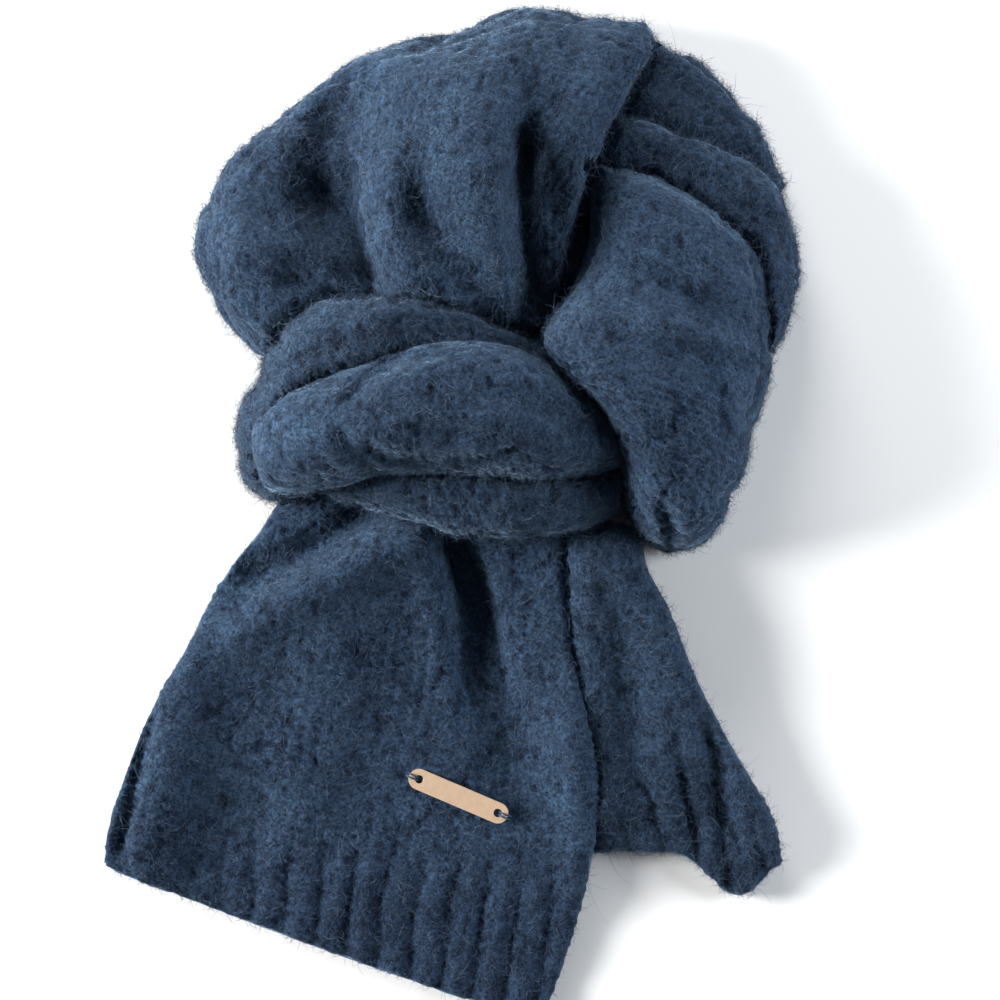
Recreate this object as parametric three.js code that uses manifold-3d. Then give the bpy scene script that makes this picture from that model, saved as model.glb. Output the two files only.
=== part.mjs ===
// Chunky brushed-knit scarf, knotted and laid down on a flat surface.
// A collapsed neck loop lies at the back, a wrap of three rolls crosses the middle,
// and two tails with ribbed hems lie in front. Millimetres, +Z up, tails towards -Y.
import * as THREE from 'three';
import { mergeVertices } from 'three/addons/utils/BufferGeometryUtils.js';
import Module from 'manifold-3d';

// Driving sizes
const CLOTH = 5.5;            // thickness of the brushed knit
const SEAM_GAP = 0.4;         // clearance between neighbouring stretches
const TUCK = 9;               // radius with which a folded edge turns under
const FOLD_POWER = 0.84;      // 1 is an ellipse, less makes a fuller fold
const EDGE_ROUND = 7;         // how far the rounding of a tail's edge reaches inwards
const EDGE_LIP = 0.45;        // height of a tail's rounded edge as a share of the cloth
const RIB_PITCH = 16.6;       // from rib to rib of the hems
const RIB_RISE = 3.4;         // how far a rib stands above its grooves
const RIB_LENGTH = 62;        // length of the ribbed hem along the tail
const PLATE_LENGTH = 53;      // bare metal label plate, hole end to hole end
const PLATE_WIDTH = 10.4;
const PLATE_THICKNESS = 1.2;
const PLATE_HOLE = 2.1;       // radius of its two sewing holes
const PLATE_TILT = -0.4;      // turn of the plate in the plan, radians
const PLATE_PLACE = { along: 0.668, across: 0.7 };   // on the front tail
const PLAN_CENTRE = new THREE.Vector3(0.15, -8.305, 0);   // middle of the plan outline

const YARN = { color: 0x34485f, roughness: 1.0, metalness: 0.0 };
const METAL = { color: 0xc8a878, roughness: 0.35, metalness: 0.9 };

// Turns rows of numbers into objects whose fields carry the column names.
function table(columns, rows) {
  return rows.map((row) => Object.fromEntries(columns.map((name, i) => [name, row[i]])));
}

// A folded stretch is a row of sections. Each crosses the stretch in the plan from
// side a to side b, rises from its feet to its crown, and may bow along the path.
const SECTION = ['ax', 'ay', 'bx', 'by', 'crown', 'lean', 'footA', 'footB', 'bow'];

// Large folds, each a line in the plan. Rise is positive on a ridge, negative in a valley.
const FOLD = ['x0', 'y0', 'x1', 'y1', 'bow', 'width', 'rise'];

const LOOP_LEFT = table(SECTION, [
  [-58, 60, -97, 73, 36, 0.45, 18, 0, 0],
  [-52, 66, -119, 100, 47, 0.5, 24, 0, 0],
  [-46, 68, -125, 130, 52, 0.5, 26, 0, 0],
  [-38, 70, -119.5, 152, 55, 0.48, 28, 0, 0],
  [-30, 72, -101, 175, 57, 0.46, 28, 0, 0],
  [-20, 74, -71, 202, 59, 0.44, 28, 0, 0],
  [-8, 76, -30, 225, 61, 0.42, 28, 0, 0],
  [6, 78, 10, 236, 62, 0.4, 28, 0, 0],
  [20, 80, 45, 244, 62, 0.4, 28, 0, 0],
  [32, 82, 74, 243, 61, 0.4, 28, 6, 3],
  [43, 84, 96, 238, 58, 0.42, 28, 17, 7],
  [52, 86, 106, 228, 55, 0.45, 28, 25, 11],
]);

const LOOP_LEFT_FOLDS = table(FOLD, [
  [-48, 208, -64, 160, 3, 12, -12],
  [-58, 156, -44, 108, 0, 13, -13],
  [20, 228, 0, 118, 4, 22, 10],
  [-100, 134, -66, 132, 3, 12, 6],
  [-80, 108, -56, 101, 2, 7, -6],
  [-4, 140, 16, 98, 0, 13, -7],
  [36, 204, 43, 98, -1, 8, -22],
  [76, 224, 53, 112, -4, 10, 7],
]);

const LOOP_BACK = table(SECTION, [
  [50, 160, 86, 231, 22, 0.6, 8, 0, 0],
  [62, 160, 107, 227, 25, 0.6, 8, 0, 0],
  [72, 155, 124.5, 216.5, 27, 0.6, 8, 0, 0],
  [82, 148, 140, 203, 28, 0.6, 8, 0, 0],
  [92, 140, 151.5, 187.5, 28, 0.6, 8, 0, 0],
  [102, 130, 161.5, 171, 26, 0.6, 8, 0, 0],
  [110, 118, 169, 153, 22, 0.6, 8, 0, 0],
]);

const LOOP_MID = table(SECTION, [
  [52, 138, 66, 183, 40, 0.7, 12, 20, 0],
  [66, 140, 82, 188, 42, 0.7, 12, 20, 0],
  [82, 134, 98, 187, 43, 0.7, 12, 20, 0],
  [94, 126, 113, 182, 43, 0.7, 12, 20, 0],
  [104, 116, 128, 176, 42, 0.7, 12, 19, 0],
  [112, 106, 144, 167, 41, 0.7, 12, 16, 0],
  [118, 96, 160, 157, 40, 0.7, 10, 10, 0],
  [122, 88, 168.5, 145, 39, 0.68, 8, 3, 0],
  [124, 80, 172.5, 126, 38, 0.66, 6, 0, 0],
  [124, 72, 171.5, 104, 36, 0.66, 4, 0, 0],
  [122, 64, 167, 84, 32, 0.66, 2, 0, 0],
  [118, 56, 158, 66, 26, 0.66, 0, 0, 0],
]);

const LOOP_MID_FOLDS = table(FOLD, [
  [92, 170, 150, 140, 5, 7, -4],
  [160, 140, 164, 90, 3, 6, -3],
]);

const LOOP_RIGHT = table(SECTION, [
  [71, 164, 153, 118, 54, 0.42, 14, 26, 12],
  [72, 145, 158.5, 97, 61, 0.42, 14, 16, 8],
  [68, 124, 160.5, 80, 67, 0.42, 16, 8, 5],
  [59, 102, 160, 66, 72, 0.42, 24, 2, 2],
  [46, 79, 156.5, 53, 77, 0.42, 46, 0, 0],
  [54, 64, 152.5, 39, 79, 0.42, 58, 0, 0],
  [69, 51, 149, 26, 78, 0.42, 58, 0, 0],
  [79, 37, 146, 14, 75, 0.44, 50, 0, 0],
  [84, 22, 141, 3, 70, 0.46, 30, 0, 0],
  [86, 7, 136.5, -8, 63, 0.48, 12, 0, 0],
  [88, -8, 131, -18.5, 54, 0.5, 4, 0, 0],
  [93, -24, 124, -28, 40, 0.5, 0, 0, 0],
]);

const LOOP_RIGHT_FOLDS = table(FOLD, [
  [121, 99, 141, 87, 2, 10, -5],
  [150, 116, 156, 74, 3, 5, -3],
  [126, 60, 133, 30, 2, 7, -4],
  [99, -4, 113, -18, 2, 5, -5],
  [60, 86, 96, 10, 5, 13, 4],
]);

const WRAP_UPPER = table(SECTION, [
  [58, 66, 48, 34, 50, 0.5, 34, 30, 0],
  [47, 74, 38, 38, 58, 0.5, 38, 32, 0],
  [30, 82.5, 24, 42, 66, 0.5, 42, 34, 0],
  [10, 91, 9, 43, 71, 0.5, 45, 36, 0],
  [-10, 97, -5, 43, 73, 0.5, 45, 36, 0],
  [-30, 98.5, -18, 41, 73, 0.5, 44, 36, 0],
  [-50, 97.5, -30, 38, 72, 0.5, 40, 36, 0],
  [-68, 93, -39, 35, 70, 0.5, 34, 34, 0],
  [-82, 85, -46, 32, 67, 0.48, 20, 32, 0],
  [-90, 74, -51, 30, 64, 0.46, 6, 30, 0],
  [-94, 61, -54, 27, 61, 0.44, 0, 30, 0],
  [-101, 49, -56, 24, 58, 0.42, 0, 28, 0],
  [-106, 36, -58, 21, 55, 0.4, 0, 26, 0],
  [-106, 22, -58, 17, 51, 0.4, 0, 24, 0],
  [-102, 8, -57, 12, 46, 0.4, 0, 22, 0],
  [-95, -5, -54, 6, 38, 0.4, 0, 20, 0],
]);

const WRAP_UPPER_FOLDS = table(FOLD, [
  [-84, 62, 10, 82, 6, 5, -3],
  [-100, 20, -92, 52, 3, 5, -3],
]);

const WRAP_MIDDLE = table(SECTION, [
  [-97, 38, -96, 12, 58, 0.5, 38, 26, 0],
  [-90, 43, -89, 4, 66, 0.5, 44, 26, 0],
  [-75, 53, -76, 2, 77, 0.5, 46, 24, 0],
  [-55, 62, -56, 5, 84, 0.5, 48, 26, 0],
  [-35, 69, -36, 10, 88, 0.5, 50, 32, 0],
  [-15, 75, -16, 12.5, 90, 0.5, 50, 34, 0],
  [5, 77, 5, 12, 90, 0.5, 50, 34, 0],
  [25, 75.5, 25, 10, 88, 0.5, 48, 32, 0],
  [43, 70, 45, 9.5, 83, 0.5, 46, 30, 0],
  [60, 58, 64, 11, 75, 0.5, 42, 30, 0],
  [75, 47, 80, 15, 65, 0.5, 38, 30, 0],
  [86, 37, 90, 18, 56, 0.5, 34, 30, 0],
]);

const WRAP_MIDDLE_FOLDS = table(FOLD, [
  [-36, 23, 34, 24, -3, 5, -4],
  [-80, 38, 10, 62, 5, 6, -3],
  [-60, 30, 20, 38, 4, 10, 3],
]);

const WRAP_LOWER = table(SECTION, [
  [-76, 18, -75, 2, 40, 0.4, 18, 10, 0],
  [-64, 18, -63, 3, 44, 0.4, 22, 14, 0],
  [-50, 21, -52, -1, 50, 0.4, 24, 18, 0],
  [-33, 23, -35, -6, 54, 0.42, 24, 20, 0],
  [-15, 24, -17, -11, 57, 0.44, 24, 21, 0],
  [3, 24, 1, -15, 59, 0.46, 24, 21, 0],
  [20, 24, 20, -18, 60, 0.48, 24, 21, 0],
  [40, 24, 40, -19, 58, 0.48, 24, 20, 0],
  [58, 24, 60, -16, 54, 0.48, 22, 18, 0],
  [73, 24, 76, -11, 48, 0.46, 20, 14, 0],
  [85, 22, 90, -4, 40, 0.44, 16, 10, 0],
]);

const WRAP_LOWER_FOLDS = table(FOLD, [
  [-40, 2, 40, -4, -3, 5, -3],
]);

// The layers that nothing shows, as one rounded solid under the stretches.
const HIDDEN_LAYERS = table(SECTION, [
  [-10, 200, 40, 202, 12, 0.5, 0, 0, 0],
  [-50, 184, 56, 188, 24, 0.5, 0, 0, 0],
  [-80, 164, 66, 162, 28, 0.5, 0, 0, 0],
  [-96, 138, 84, 134, 28, 0.5, 0, 0, 0],
  [-96, 110, 106, 106, 28, 0.5, 0, 0, 0],
  [-84, 84, 116, 80, 30, 0.5, 0, 0, 0],
  [-72, 62, 120, 54, 34, 0.5, 0, 0, 0],
  [-68, 40, 118, 30, 35, 0.5, 0, 0, 0],
  [-58, 20, 110, 8, 30, 0.5, 0, 0, 0],
  [-40, 12, 96, 0, 16, 0.5, 0, 0, 0],
]);

// A tail is a row of sections across a lying sheet, with its height at the left edge,
// in the middle and at the right edge.
const SHEET = ['ax', 'ay', 'bx', 'by', 'left', 'middle', 'right'];

const TAIL_FRONT = table(SHEET, [
  [-78, 8, 52, 4, 14, 20, 20],
  [-88, -5, 56, -14, 16, 24, 20],
  [-95, -16, 58, -30, 15, 24, 19],
  [-109, -33, 58, -50, 12, 20, 18],
  [-121.5, -54, 60, -70, 10, 16, 17],
  [-132.5, -76, 64, -91, 9, 13, 17],
  [-143, -94, 69, -113, 9, 11, 16],
  [-150, -108, 73, -133, 9, 10, 16],
  [-158, -128, 74, -155, 9, 9, 15],
  [-165, -148, 71, -178, 8, 8, 13],
  [-170, -166, 66, -204, 8, 8, 10],
  [-172, -178, 59, -232, 8, 8, 8],
  [-171, -184, 48, -261, 8, 8, 8],
]);

const TAIL_FRONT_FOLDS = table(FOLD, [
  [-86, -2, -32, -18, -3, 9, -7],
  [-4, -22, -98, -74, -8, 16, 8],
  [14, -12, 15, -66, 0, 9, -18],
  [10, -72, 4, -128, 0, 17, -4],
  [38, -26, 50, -104, 5, 13, 8],
  [-149, -120, -166, -172, 0, 4, -3],
  [-60, -100, -110, -170, 6, 14, -3],
  [-110, -90, -140, -150, 0, 12, 3],
  [60, -120, 62, -190, 3, 8, 4],
]);

const TAIL_BACK = table(SHEET, [
  [52, -4, 96, -14, 10, 22, 12],
  [50, -28, 98, -33, 8, 24, 12],
  [47, -60, 109.5, -56, 6, 18, 11],
  [47, -90, 120, -83, 6, 14, 10],
  [50, -118, 134.5, -112, 6, 12, 9],
  [55, -143, 149.5, -138, 6, 11, 9],
  [60, -160, 161.5, -157, 6, 10, 9],
  [65, -176, 167, -174, 6, 9, 9],
]);

const TAIL_BACK_FOLDS = table(FOLD, [
  [72, -34, 84, -110, 5, 10, 5],
  [60, -40, 66, -80, 3, 6, -4],
  [128, -118, 143, -168, 0, 4.5, -4],
  [112, -120, 124, -172, 0, 4, -3],
  [136, -114, 155, -166, 0, 6, 4],
]);

// Value of one column at u along the path, on a smooth curve through the rows.
function column(rows, name, u) {
  const last = rows.length - 1;
  const at = u * last;
  const i = THREE.MathUtils.clamp(Math.floor(at), 0, last - 1);
  const t = at - i;
  const value = (k) => rows[THREE.MathUtils.clamp(k, 0, last)][name];
  const slopeHere = (value(i + 1) - value(i - 1)) / 2;
  const slopeNext = (value(i + 2) - value(i)) / 2;
  const rise = value(i + 1) - value(i);
  const square = t * t * (3 * rise - 2 * slopeHere - slopeNext);
  const cube = t * t * t * (slopeHere + slopeNext - 2 * rise);
  return value(i) + slopeHere * t + square + cube;
}

// Height that the large folds add at a place of the plan: a soft bell across each line,
// fading past its two ends.
function foldRise(folds, x, y) {
  let total = 0;
  for (const fold of folds) {
    const dx = fold.x1 - fold.x0;
    const dy = fold.y1 - fold.y0;
    const length = Math.hypot(dx, dy);
    const along = ((x - fold.x0) * dx + (y - fold.y0) * dy) / length;
    const t = THREE.MathUtils.clamp(along / length, 0, 1);
    const side = ((x - fold.x0) * -dy + (y - fold.y0) * dx) / length;
    const off = (side - fold.bow * 4 * t * (1 - t)) / fold.width;
    const past = (along - t * length) / (fold.width * 1.6);
    total += fold.rise * Math.exp(-off * off - past * past);
  }
  return total;
}

// Quarter of a full fold: 0 at the side, 1 at the crown, for an angle from 0 to 90 degrees.
function quarter(angle) {
  return { out: 1 - Math.cos(angle) ** FOLD_POWER, up: Math.sin(angle) ** FOLD_POWER };
}

// Share of the full section that is left near a rounded end, 1 away from it.
function capShrink(distance, reach) {
  return reach && distance < reach ? Math.sqrt(1 - (1 - distance / reach) ** 2) : 1;
}

// Point of a folded stretch. u runs along the path and s across it, from the foot under
// side a, round its turned edge, over the crown and down to the foot under side b.
// Inset moves the whole surface inwards, for the inner side of the wall. Past moves its
// open ends and feet outwards, for cutting a neighbour.
function foldPoint(stretch, u, s, inset, past = 0) {
  const rows = stretch.rows;
  const capInset = inset > 0 ? inset : inset - past;
  const from = (stretch.capStart ? capInset : -past) / stretch.length;
  const to = (stretch.capEnd ? capInset : -past) / stretch.length;
  const v = from + u * (1 - from - to);
  const get = (name) => column(rows, name, v);
  const atStart = capShrink(v - from, stretch.capStart);
  const atEnd = capShrink(1 - to - v, stretch.capEnd);
  const a = new THREE.Vector2(get('ax'), get('ay'));
  const b = new THREE.Vector2(get('bx'), get('by'));
  const width = a.distanceTo(b);
  const acrossX = (b.x - a.x) / width;
  const acrossY = (b.y - a.y) / width;
  const half = width / 2 - inset;
  const room = get('crown') - Math.max(get('footA'), get('footB')) - 2 * inset;
  const tuck = Math.min(TUCK - inset * 0.5, half * 0.45, room * 0.4);
  const lean = get('lean');
  const crown = get('crown') - inset;
  const under = 0.1;
  let x;
  let z;
  if (s < under || s > 1 - under) {
    const angle = (Math.min(s, 1 - s) / under) * Math.PI / 2;
    const foot = s < under ? get('footA') : get('footB');
    const out = tuck * (1 - Math.sin(angle)) + past * (1 - Math.min(s, 1 - s) / under);
    x = s < under ? out : 2 * half - out;
    z = foot + inset + tuck * (1 - Math.cos(angle));
  } else {
    const k = (s - under) / (1 - 2 * under);
    const first = k < lean;
    const share = first ? k / lean : (1 - k) / (1 - lean);
    const q = quarter(share * Math.PI / 2);
    const foot = (first ? get('footA') : get('footB')) + inset + tuck;
    const reach = 2 * half * (first ? lean : 1 - lean);
    x = first ? reach * q.out : 2 * half - reach * q.out;
    z = foot + (crown - foot) * q.up;
  }
  const share = x / (2 * half);
  const bow = get('bow') * 4 * share * (1 - share);
  let px = a.x + acrossX * (x + inset) - acrossY * bow;
  let py = a.y + acrossY * (x + inset) + acrossX * bow;
  const waist = get('footA') * 0.5 + get('footB') * 0.5 + inset + tuck;
  if (z > waist) {
    const deepest = Math.max(0, ...stretch.folds.map((fold) => -fold.rise));
    const fade = THREE.MathUtils.smoothstep(z - waist, 0, Math.max(12, 1.6 * deepest));
    z += foldRise(stretch.folds, px, py) * fade;
  }
  const narrow = (stretch.edgeStart ? 1 : atStart) * (stretch.edgeEnd ? 1 : atEnd);
  const middleX = (a.x + b.x) / 2 - acrossY * get('bow');
  const middleY = (a.y + b.y) / 2 + acrossX * get('bow');
  px = middleX + (px - middleX) * narrow;
  py = middleY + (py - middleY) * narrow;
  z = waist + (z - waist) * atStart * atEnd;
  const floor = inset > 0 ? inset : 0;
  return new THREE.Vector3(px, py, Math.max(z, floor));
}

// Point of a lying tail. Its top follows the heights, folds and hem ribs, and its edges
// are rounded over. The inner side lies one cloth thickness lower, and never below the surface.
function sheetPoint(tail, u, s, side) {
  const get = (name) => column(tail.rows, name, u);
  const a = new THREE.Vector2(get('ax'), get('ay'));
  const b = new THREE.Vector2(get('bx'), get('by'));
  const width = a.distanceTo(b);
  const drop = tail.pleat ? tail.pleat.drop * THREE.MathUtils.smoothstep(u, 0.72, 1)
    * Math.exp(-(((s - tail.pleat.at) / tail.pleat.width) ** 2)) : 0;
  const x = a.x + (b.x - a.x) * s;
  const y = a.y + (b.y - a.y) * s - drop;
  const bend = 4 * s * (1 - s);
  const straight = get('left') * (1 - s) + get('right') * s;
  let top = straight + (get('middle') - (get('left') + get('right')) / 2) * bend;
  top += foldRise(tail.folds, x, y);
  top = Math.max(top, CLOTH);
  if (side === 'inner') {
    return new THREE.Vector3(x, y, Math.max(top - CLOTH, 0));
  }
  const toHem = (1 - u) * tail.length;
  const fade = 1 - THREE.MathUtils.smoothstep(toHem, RIB_LENGTH * 0.55, RIB_LENGTH);
  top += RIB_RISE * fade * (Math.abs(Math.cos(Math.PI * (s * width) / RIB_PITCH)) ** 0.7 - 0.5);
  const edge = Math.min(s, 1 - s) * width;
  const near = Math.max(Math.min(edge, toHem), 0) / EDGE_ROUND;
  if (near < 1) {
    const low = Math.max(top - CLOTH * (1 - EDGE_LIP), 1);
    top = low + (top - low) * Math.sqrt(1 - (1 - near) ** 2);
  }
  return new THREE.Vector3(x, y, top);
}

// Grid of points of a surface: a row for each step along, a column for each step across.
function grid(point, along, across) {
  return along.map((u) => across.map((s) => point(u, s)));
}

function steps(count) {
  return Array.from({ length: count + 1 }, (_, i) => i / count);
}

// Steps along a tail, closer together over the hem.
function hemSteps(plain, ribbed) {
  const before = steps(plain).map((t) => t * 0.72);
  return [...before, ...steps(ribbed).slice(1).map((t) => 0.72 + 0.28 * Math.sin(t * Math.PI / 2))];
}

// Joins two edges that run the same way but may have different numbers of points.
function bridge(triangles, first, second) {
  let i = 0;
  let j = 0;
  while (i < first.length - 1 || j < second.length - 1) {
    const nextFirst = (i + 1) / (first.length - 1);
    const nextSecond = (j + 1) / (second.length - 1);
    if (j === second.length - 1 || (i < first.length - 1 && nextFirst <= nextSecond)) {
      triangles.push([first[i], first[i + 1], second[j]]);
      i += 1;
    } else {
      triangles.push([first[i], second[j + 1], second[j]]);
      j += 1;
    }
  }
}

// Skin of a grid, facing up where the path runs away and side a lies to the left.
function skin(triangles, points, flip) {
  for (let i = 0; i + 1 < points.length; i += 1) {
    for (let j = 0; j + 1 < points[i].length; j += 1) {
      const [p, q, r, t] = [points[i][j], points[i][j + 1], points[i + 1][j + 1], points[i + 1][j]];
      const faces = flip ? [[p, t, r], [p, r, q]] : [[p, q, r], [p, r, t]];
      triangles.push(...faces);
    }
  }
}

// Closed wall between an outer and an inner grid, with a rim along each of its four edges.
function wall(outer, inner) {
  const triangles = [];
  skin(triangles, outer, false);
  skin(triangles, inner, true);
  const firstColumn = (points) => points.map((row) => row[0]);
  const lastColumn = (points) => points.map((row) => row[row.length - 1]);
  bridge(triangles, inner[0], outer[0]);
  bridge(triangles, outer[outer.length - 1], inner[inner.length - 1]);
  bridge(triangles, firstColumn(outer), firstColumn(inner));
  bridge(triangles, lastColumn(inner), lastColumn(outer));
  return triangles;
}

// Indexed mesh with shared corners, its empty triangles dropped and its faces outwards.
function weld(triangles) {
  const places = new Map();
  const points = [];
  const index = [];
  const cornerOf = (point) => {
    const key = point.toArray().map((value) => Math.round(value * 1000)).join();
    if (!places.has(key)) {
      places.set(key, points.length);
      points.push(point);
    }
    return places.get(key);
  };
  for (const corners of triangles) {
    const [a, b, c] = corners.map(cornerOf);
    if (a !== b && b !== c && a !== c) {
      index.push(a, b, c);
    }
  }
  let volume = 0;
  for (let i = 0; i < index.length; i += 3) {
    const [a, b, c] = [points[index[i]], points[index[i + 1]], points[index[i + 2]]];
    volume += a.dot(new THREE.Vector3().crossVectors(b, c));
  }
  if (volume < 0) {
    for (let i = 0; i < index.length; i += 3) {
      [index[i + 1], index[i + 2]] = [index[i + 2], index[i + 1]];
    }
  }
  return { vertProperties: Float32Array.from(points.flatMap((p) => p.toArray())), triVerts: Uint32Array.from(index) };
}

const wasm = await Module();
wasm.setup();

function solidOf(triangles) {
  const { vertProperties, triVerts } = weld(triangles);
  return new wasm.Manifold(new wasm.Mesh({ numProp: 3, vertProperties, triVerts }));
}

// The largest connected body of a solid, which drops slivers that a cut leaves behind.
function largest(solid) {
  const bodies = solid.decompose();
  return bodies.reduce((best, body) => (body.volume() > best.volume() ? body : best));
}

// Wall of a folded stretch. Grow makes it thicker on all sides, for cutting its neighbours.
function foldWall(stretch, grow) {
  const outer = grid(
    (u, s) => foldPoint(stretch, u, s, -grow, grow),
    steps(stretch.along),
    steps(stretch.across),
  );
  const inner = grid(
    (u, s) => foldPoint(stretch, u, s, CLOTH + grow, grow),
    steps(stretch.alongIn),
    steps(stretch.acrossIn),
  );
  return solidOf(wall(outer, inner));
}

// Solid under a folded surface, closed by a flat underside.
function foldSolid(stretch) {
  const top = grid((u, s) => foldPoint(stretch, u, s, 0), steps(stretch.along), steps(stretch.across));
  const low = (points) => points.map((p) => new THREE.Vector3(p.x, p.y, 0));
  const ends = (row) => [row[0], row[row.length - 1]];
  const base = top.map((row) => low(ends(row)));
  const firstColumn = top.map((row) => row[0]);
  const lastColumn = top.map((row) => row[row.length - 1]);
  const triangles = [];
  skin(triangles, top, false);
  skin(triangles, base, true);
  bridge(triangles, firstColumn, low(firstColumn));
  bridge(triangles, low(lastColumn), lastColumn);
  bridge(triangles, base[0], top[0]);
  bridge(triangles, top[top.length - 1], base[base.length - 1]);
  return solidOf(triangles);
}

// Wall of a tail, grown in the same way for cutting.
function sheetWall(tail, grow) {
  const point = (u, s, side, rise) => {
    const uPast = u + (u - 0.5) * 2 * grow / tail.length;
    const sPast = s + (s - 0.5) * 2 * grow / tail.narrow;
    const p = sheetPoint(tail, uPast, sPast, side);
    return new THREE.Vector3(p.x, p.y, Math.max(p.z + rise, -grow));
  };
  const outer = grid((u, s) => point(u, s, 'outer', grow), tail.rowsAt, steps(tail.across));
  const inner = grid((u, s) => point(u, s, 'inner', -grow), steps(tail.alongIn), steps(tail.acrossIn));
  return solidOf(wall(outer, inner));
}

// The stretches from the one on top to the lowest. Length is the path, in the plan.
const STRETCHES = [
  { name: 'loop_right', rows: LOOP_RIGHT, folds: LOOP_RIGHT_FOLDS, along: 22, across: 16,
    alongIn: 12, acrossIn: 10, length: 210, capStart: 0.06, edgeStart: true, capEnd: 0.12 },
  { name: 'wrap_middle', rows: WRAP_MIDDLE, folds: WRAP_MIDDLE_FOLDS, along: 22, across: 14,
    alongIn: 12, acrossIn: 8, length: 195, capStart: 0.1 },
  { name: 'wrap_upper', rows: WRAP_UPPER, folds: WRAP_UPPER_FOLDS, along: 22, across: 12,
    alongIn: 14, acrossIn: 8, length: 240, capEnd: 0.08 },
  { name: 'wrap_lower', rows: WRAP_LOWER, folds: WRAP_LOWER_FOLDS, along: 18, across: 12,
    alongIn: 10, acrossIn: 8, length: 165, capStart: 0.12 },
  { name: 'loop_left', rows: LOOP_LEFT, folds: LOOP_LEFT_FOLDS, along: 38, across: 18,
    alongIn: 20, acrossIn: 10, length: 330, capEnd: 0.04, edgeEnd: true },
  { name: 'loop_mid', rows: LOOP_MID, folds: LOOP_MID_FOLDS, along: 18, across: 12,
    alongIn: 10, acrossIn: 8, length: 180, capEnd: 0.1 },
  { name: 'loop_back', rows: LOOP_BACK, folds: [], along: 12, across: 10,
    alongIn: 8, acrossIn: 8, length: 130 },
];

const TAILS = [
  { name: 'tail_front', rows: TAIL_FRONT, folds: TAIL_FRONT_FOLDS, across: 56, acrossIn: 14, alongIn: 10,
    length: 255, narrow: 110, rowsAt: hemSteps(9, 7) },
  { name: 'tail_back', rows: TAIL_BACK, folds: TAIL_BACK_FOLDS, across: 26, acrossIn: 10, alongIn: 8,
    length: 170, narrow: 44, rowsAt: hemSteps(7, 6), pleat: { at: 0.79, width: 0.19, drop: 21.5 } },
];

const scarf = new THREE.Group();

function addPiece(name, geometry, finish) {
  const mesh = new THREE.Mesh(geometry, new THREE.MeshStandardMaterial(finish));
  mesh.name = name;
  mesh.position.copy(PLAN_CENTRE).negate();
  scarf.add(mesh);
}

function geometryOf(solid) {
  const mesh = solid.getMesh();
  const geometry = new THREE.BufferGeometry();
  geometry.setAttribute('position', new THREE.BufferAttribute(mesh.vertProperties, 3));
  geometry.setIndex(new THREE.BufferAttribute(mesh.triVerts, 1));
  return geometry;
}

// Each stretch is cut by the ones above it, and the hidden layers by them all.
const cutters = [];
let hidden = foldSolid({ rows: HIDDEN_LAYERS, folds: [], along: 12, across: 10, length: 240 });
for (const piece of [...STRETCHES, ...TAILS]) {
  const makeWall = piece.rowsAt ? sheetWall : foldWall;
  const whole = makeWall(piece, 0);
  let solid = whole;
  for (const cutter of cutters) {
    solid = solid.subtract(cutter);
  }
  addPiece(piece.name, geometryOf(largest(solid)), YARN);
  const cutter = makeWall(piece, SEAM_GAP).add(whole);
  cutters.push(cutter);
  hidden = hidden.subtract(cutter);
}
addPiece('hidden_layers', geometryOf(largest(hidden)), YARN);

// Bare label plate: a flat strip with round ends and a sewing hole near each end.
function plateGeometry() {
  const round = PLATE_WIDTH / 2;
  const middle = PLATE_LENGTH / 2 - round;
  const outline = new THREE.Shape();
  outline.absarc(middle, 0, round, -Math.PI / 2, Math.PI / 2, false);
  outline.absarc(-middle, 0, round, Math.PI / 2, Math.PI * 1.5, false);
  for (const side of [-1, 1]) {
    const hole = new THREE.Path();
    hole.absarc(side * middle, 0, PLATE_HOLE, 0, Math.PI * 2, true);
    outline.holes.push(hole);
  }
  const options = { depth: PLATE_THICKNESS, bevelEnabled: false, curveSegments: 12 };
  const flat = new THREE.ExtrudeGeometry(outline, options);
  flat.deleteAttribute('normal');
  flat.deleteAttribute('uv');
  return mergeVertices(flat);
}

// Places of the front tail under the plate, as offsets along and across the plate.
function underPlate(tail, centre) {
  const spots = [];
  const reach = 0.14;
  for (const du of steps(36)) {
    for (const ds of steps(36)) {
      const u = PLATE_PLACE.along + (du - 0.5) * reach * 2;
      const s = PLATE_PLACE.across + (ds - 0.5) * reach * 2;
      const p = sheetPoint(tail, u, s, 'outer');
      const dx = p.x - centre.x;
      const dy = p.y - centre.y;
      const along = dx * Math.cos(PLATE_TILT) + dy * Math.sin(PLATE_TILT);
      const across = -dx * Math.sin(PLATE_TILT) + dy * Math.cos(PLATE_TILT);
      if (Math.abs(along) < PLATE_LENGTH / 2 + 1 && Math.abs(across) < PLATE_WIDTH / 2 + 1) {
        spots.push({ along, across, height: p.z });
      }
    }
  }
  return spots;
}

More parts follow.
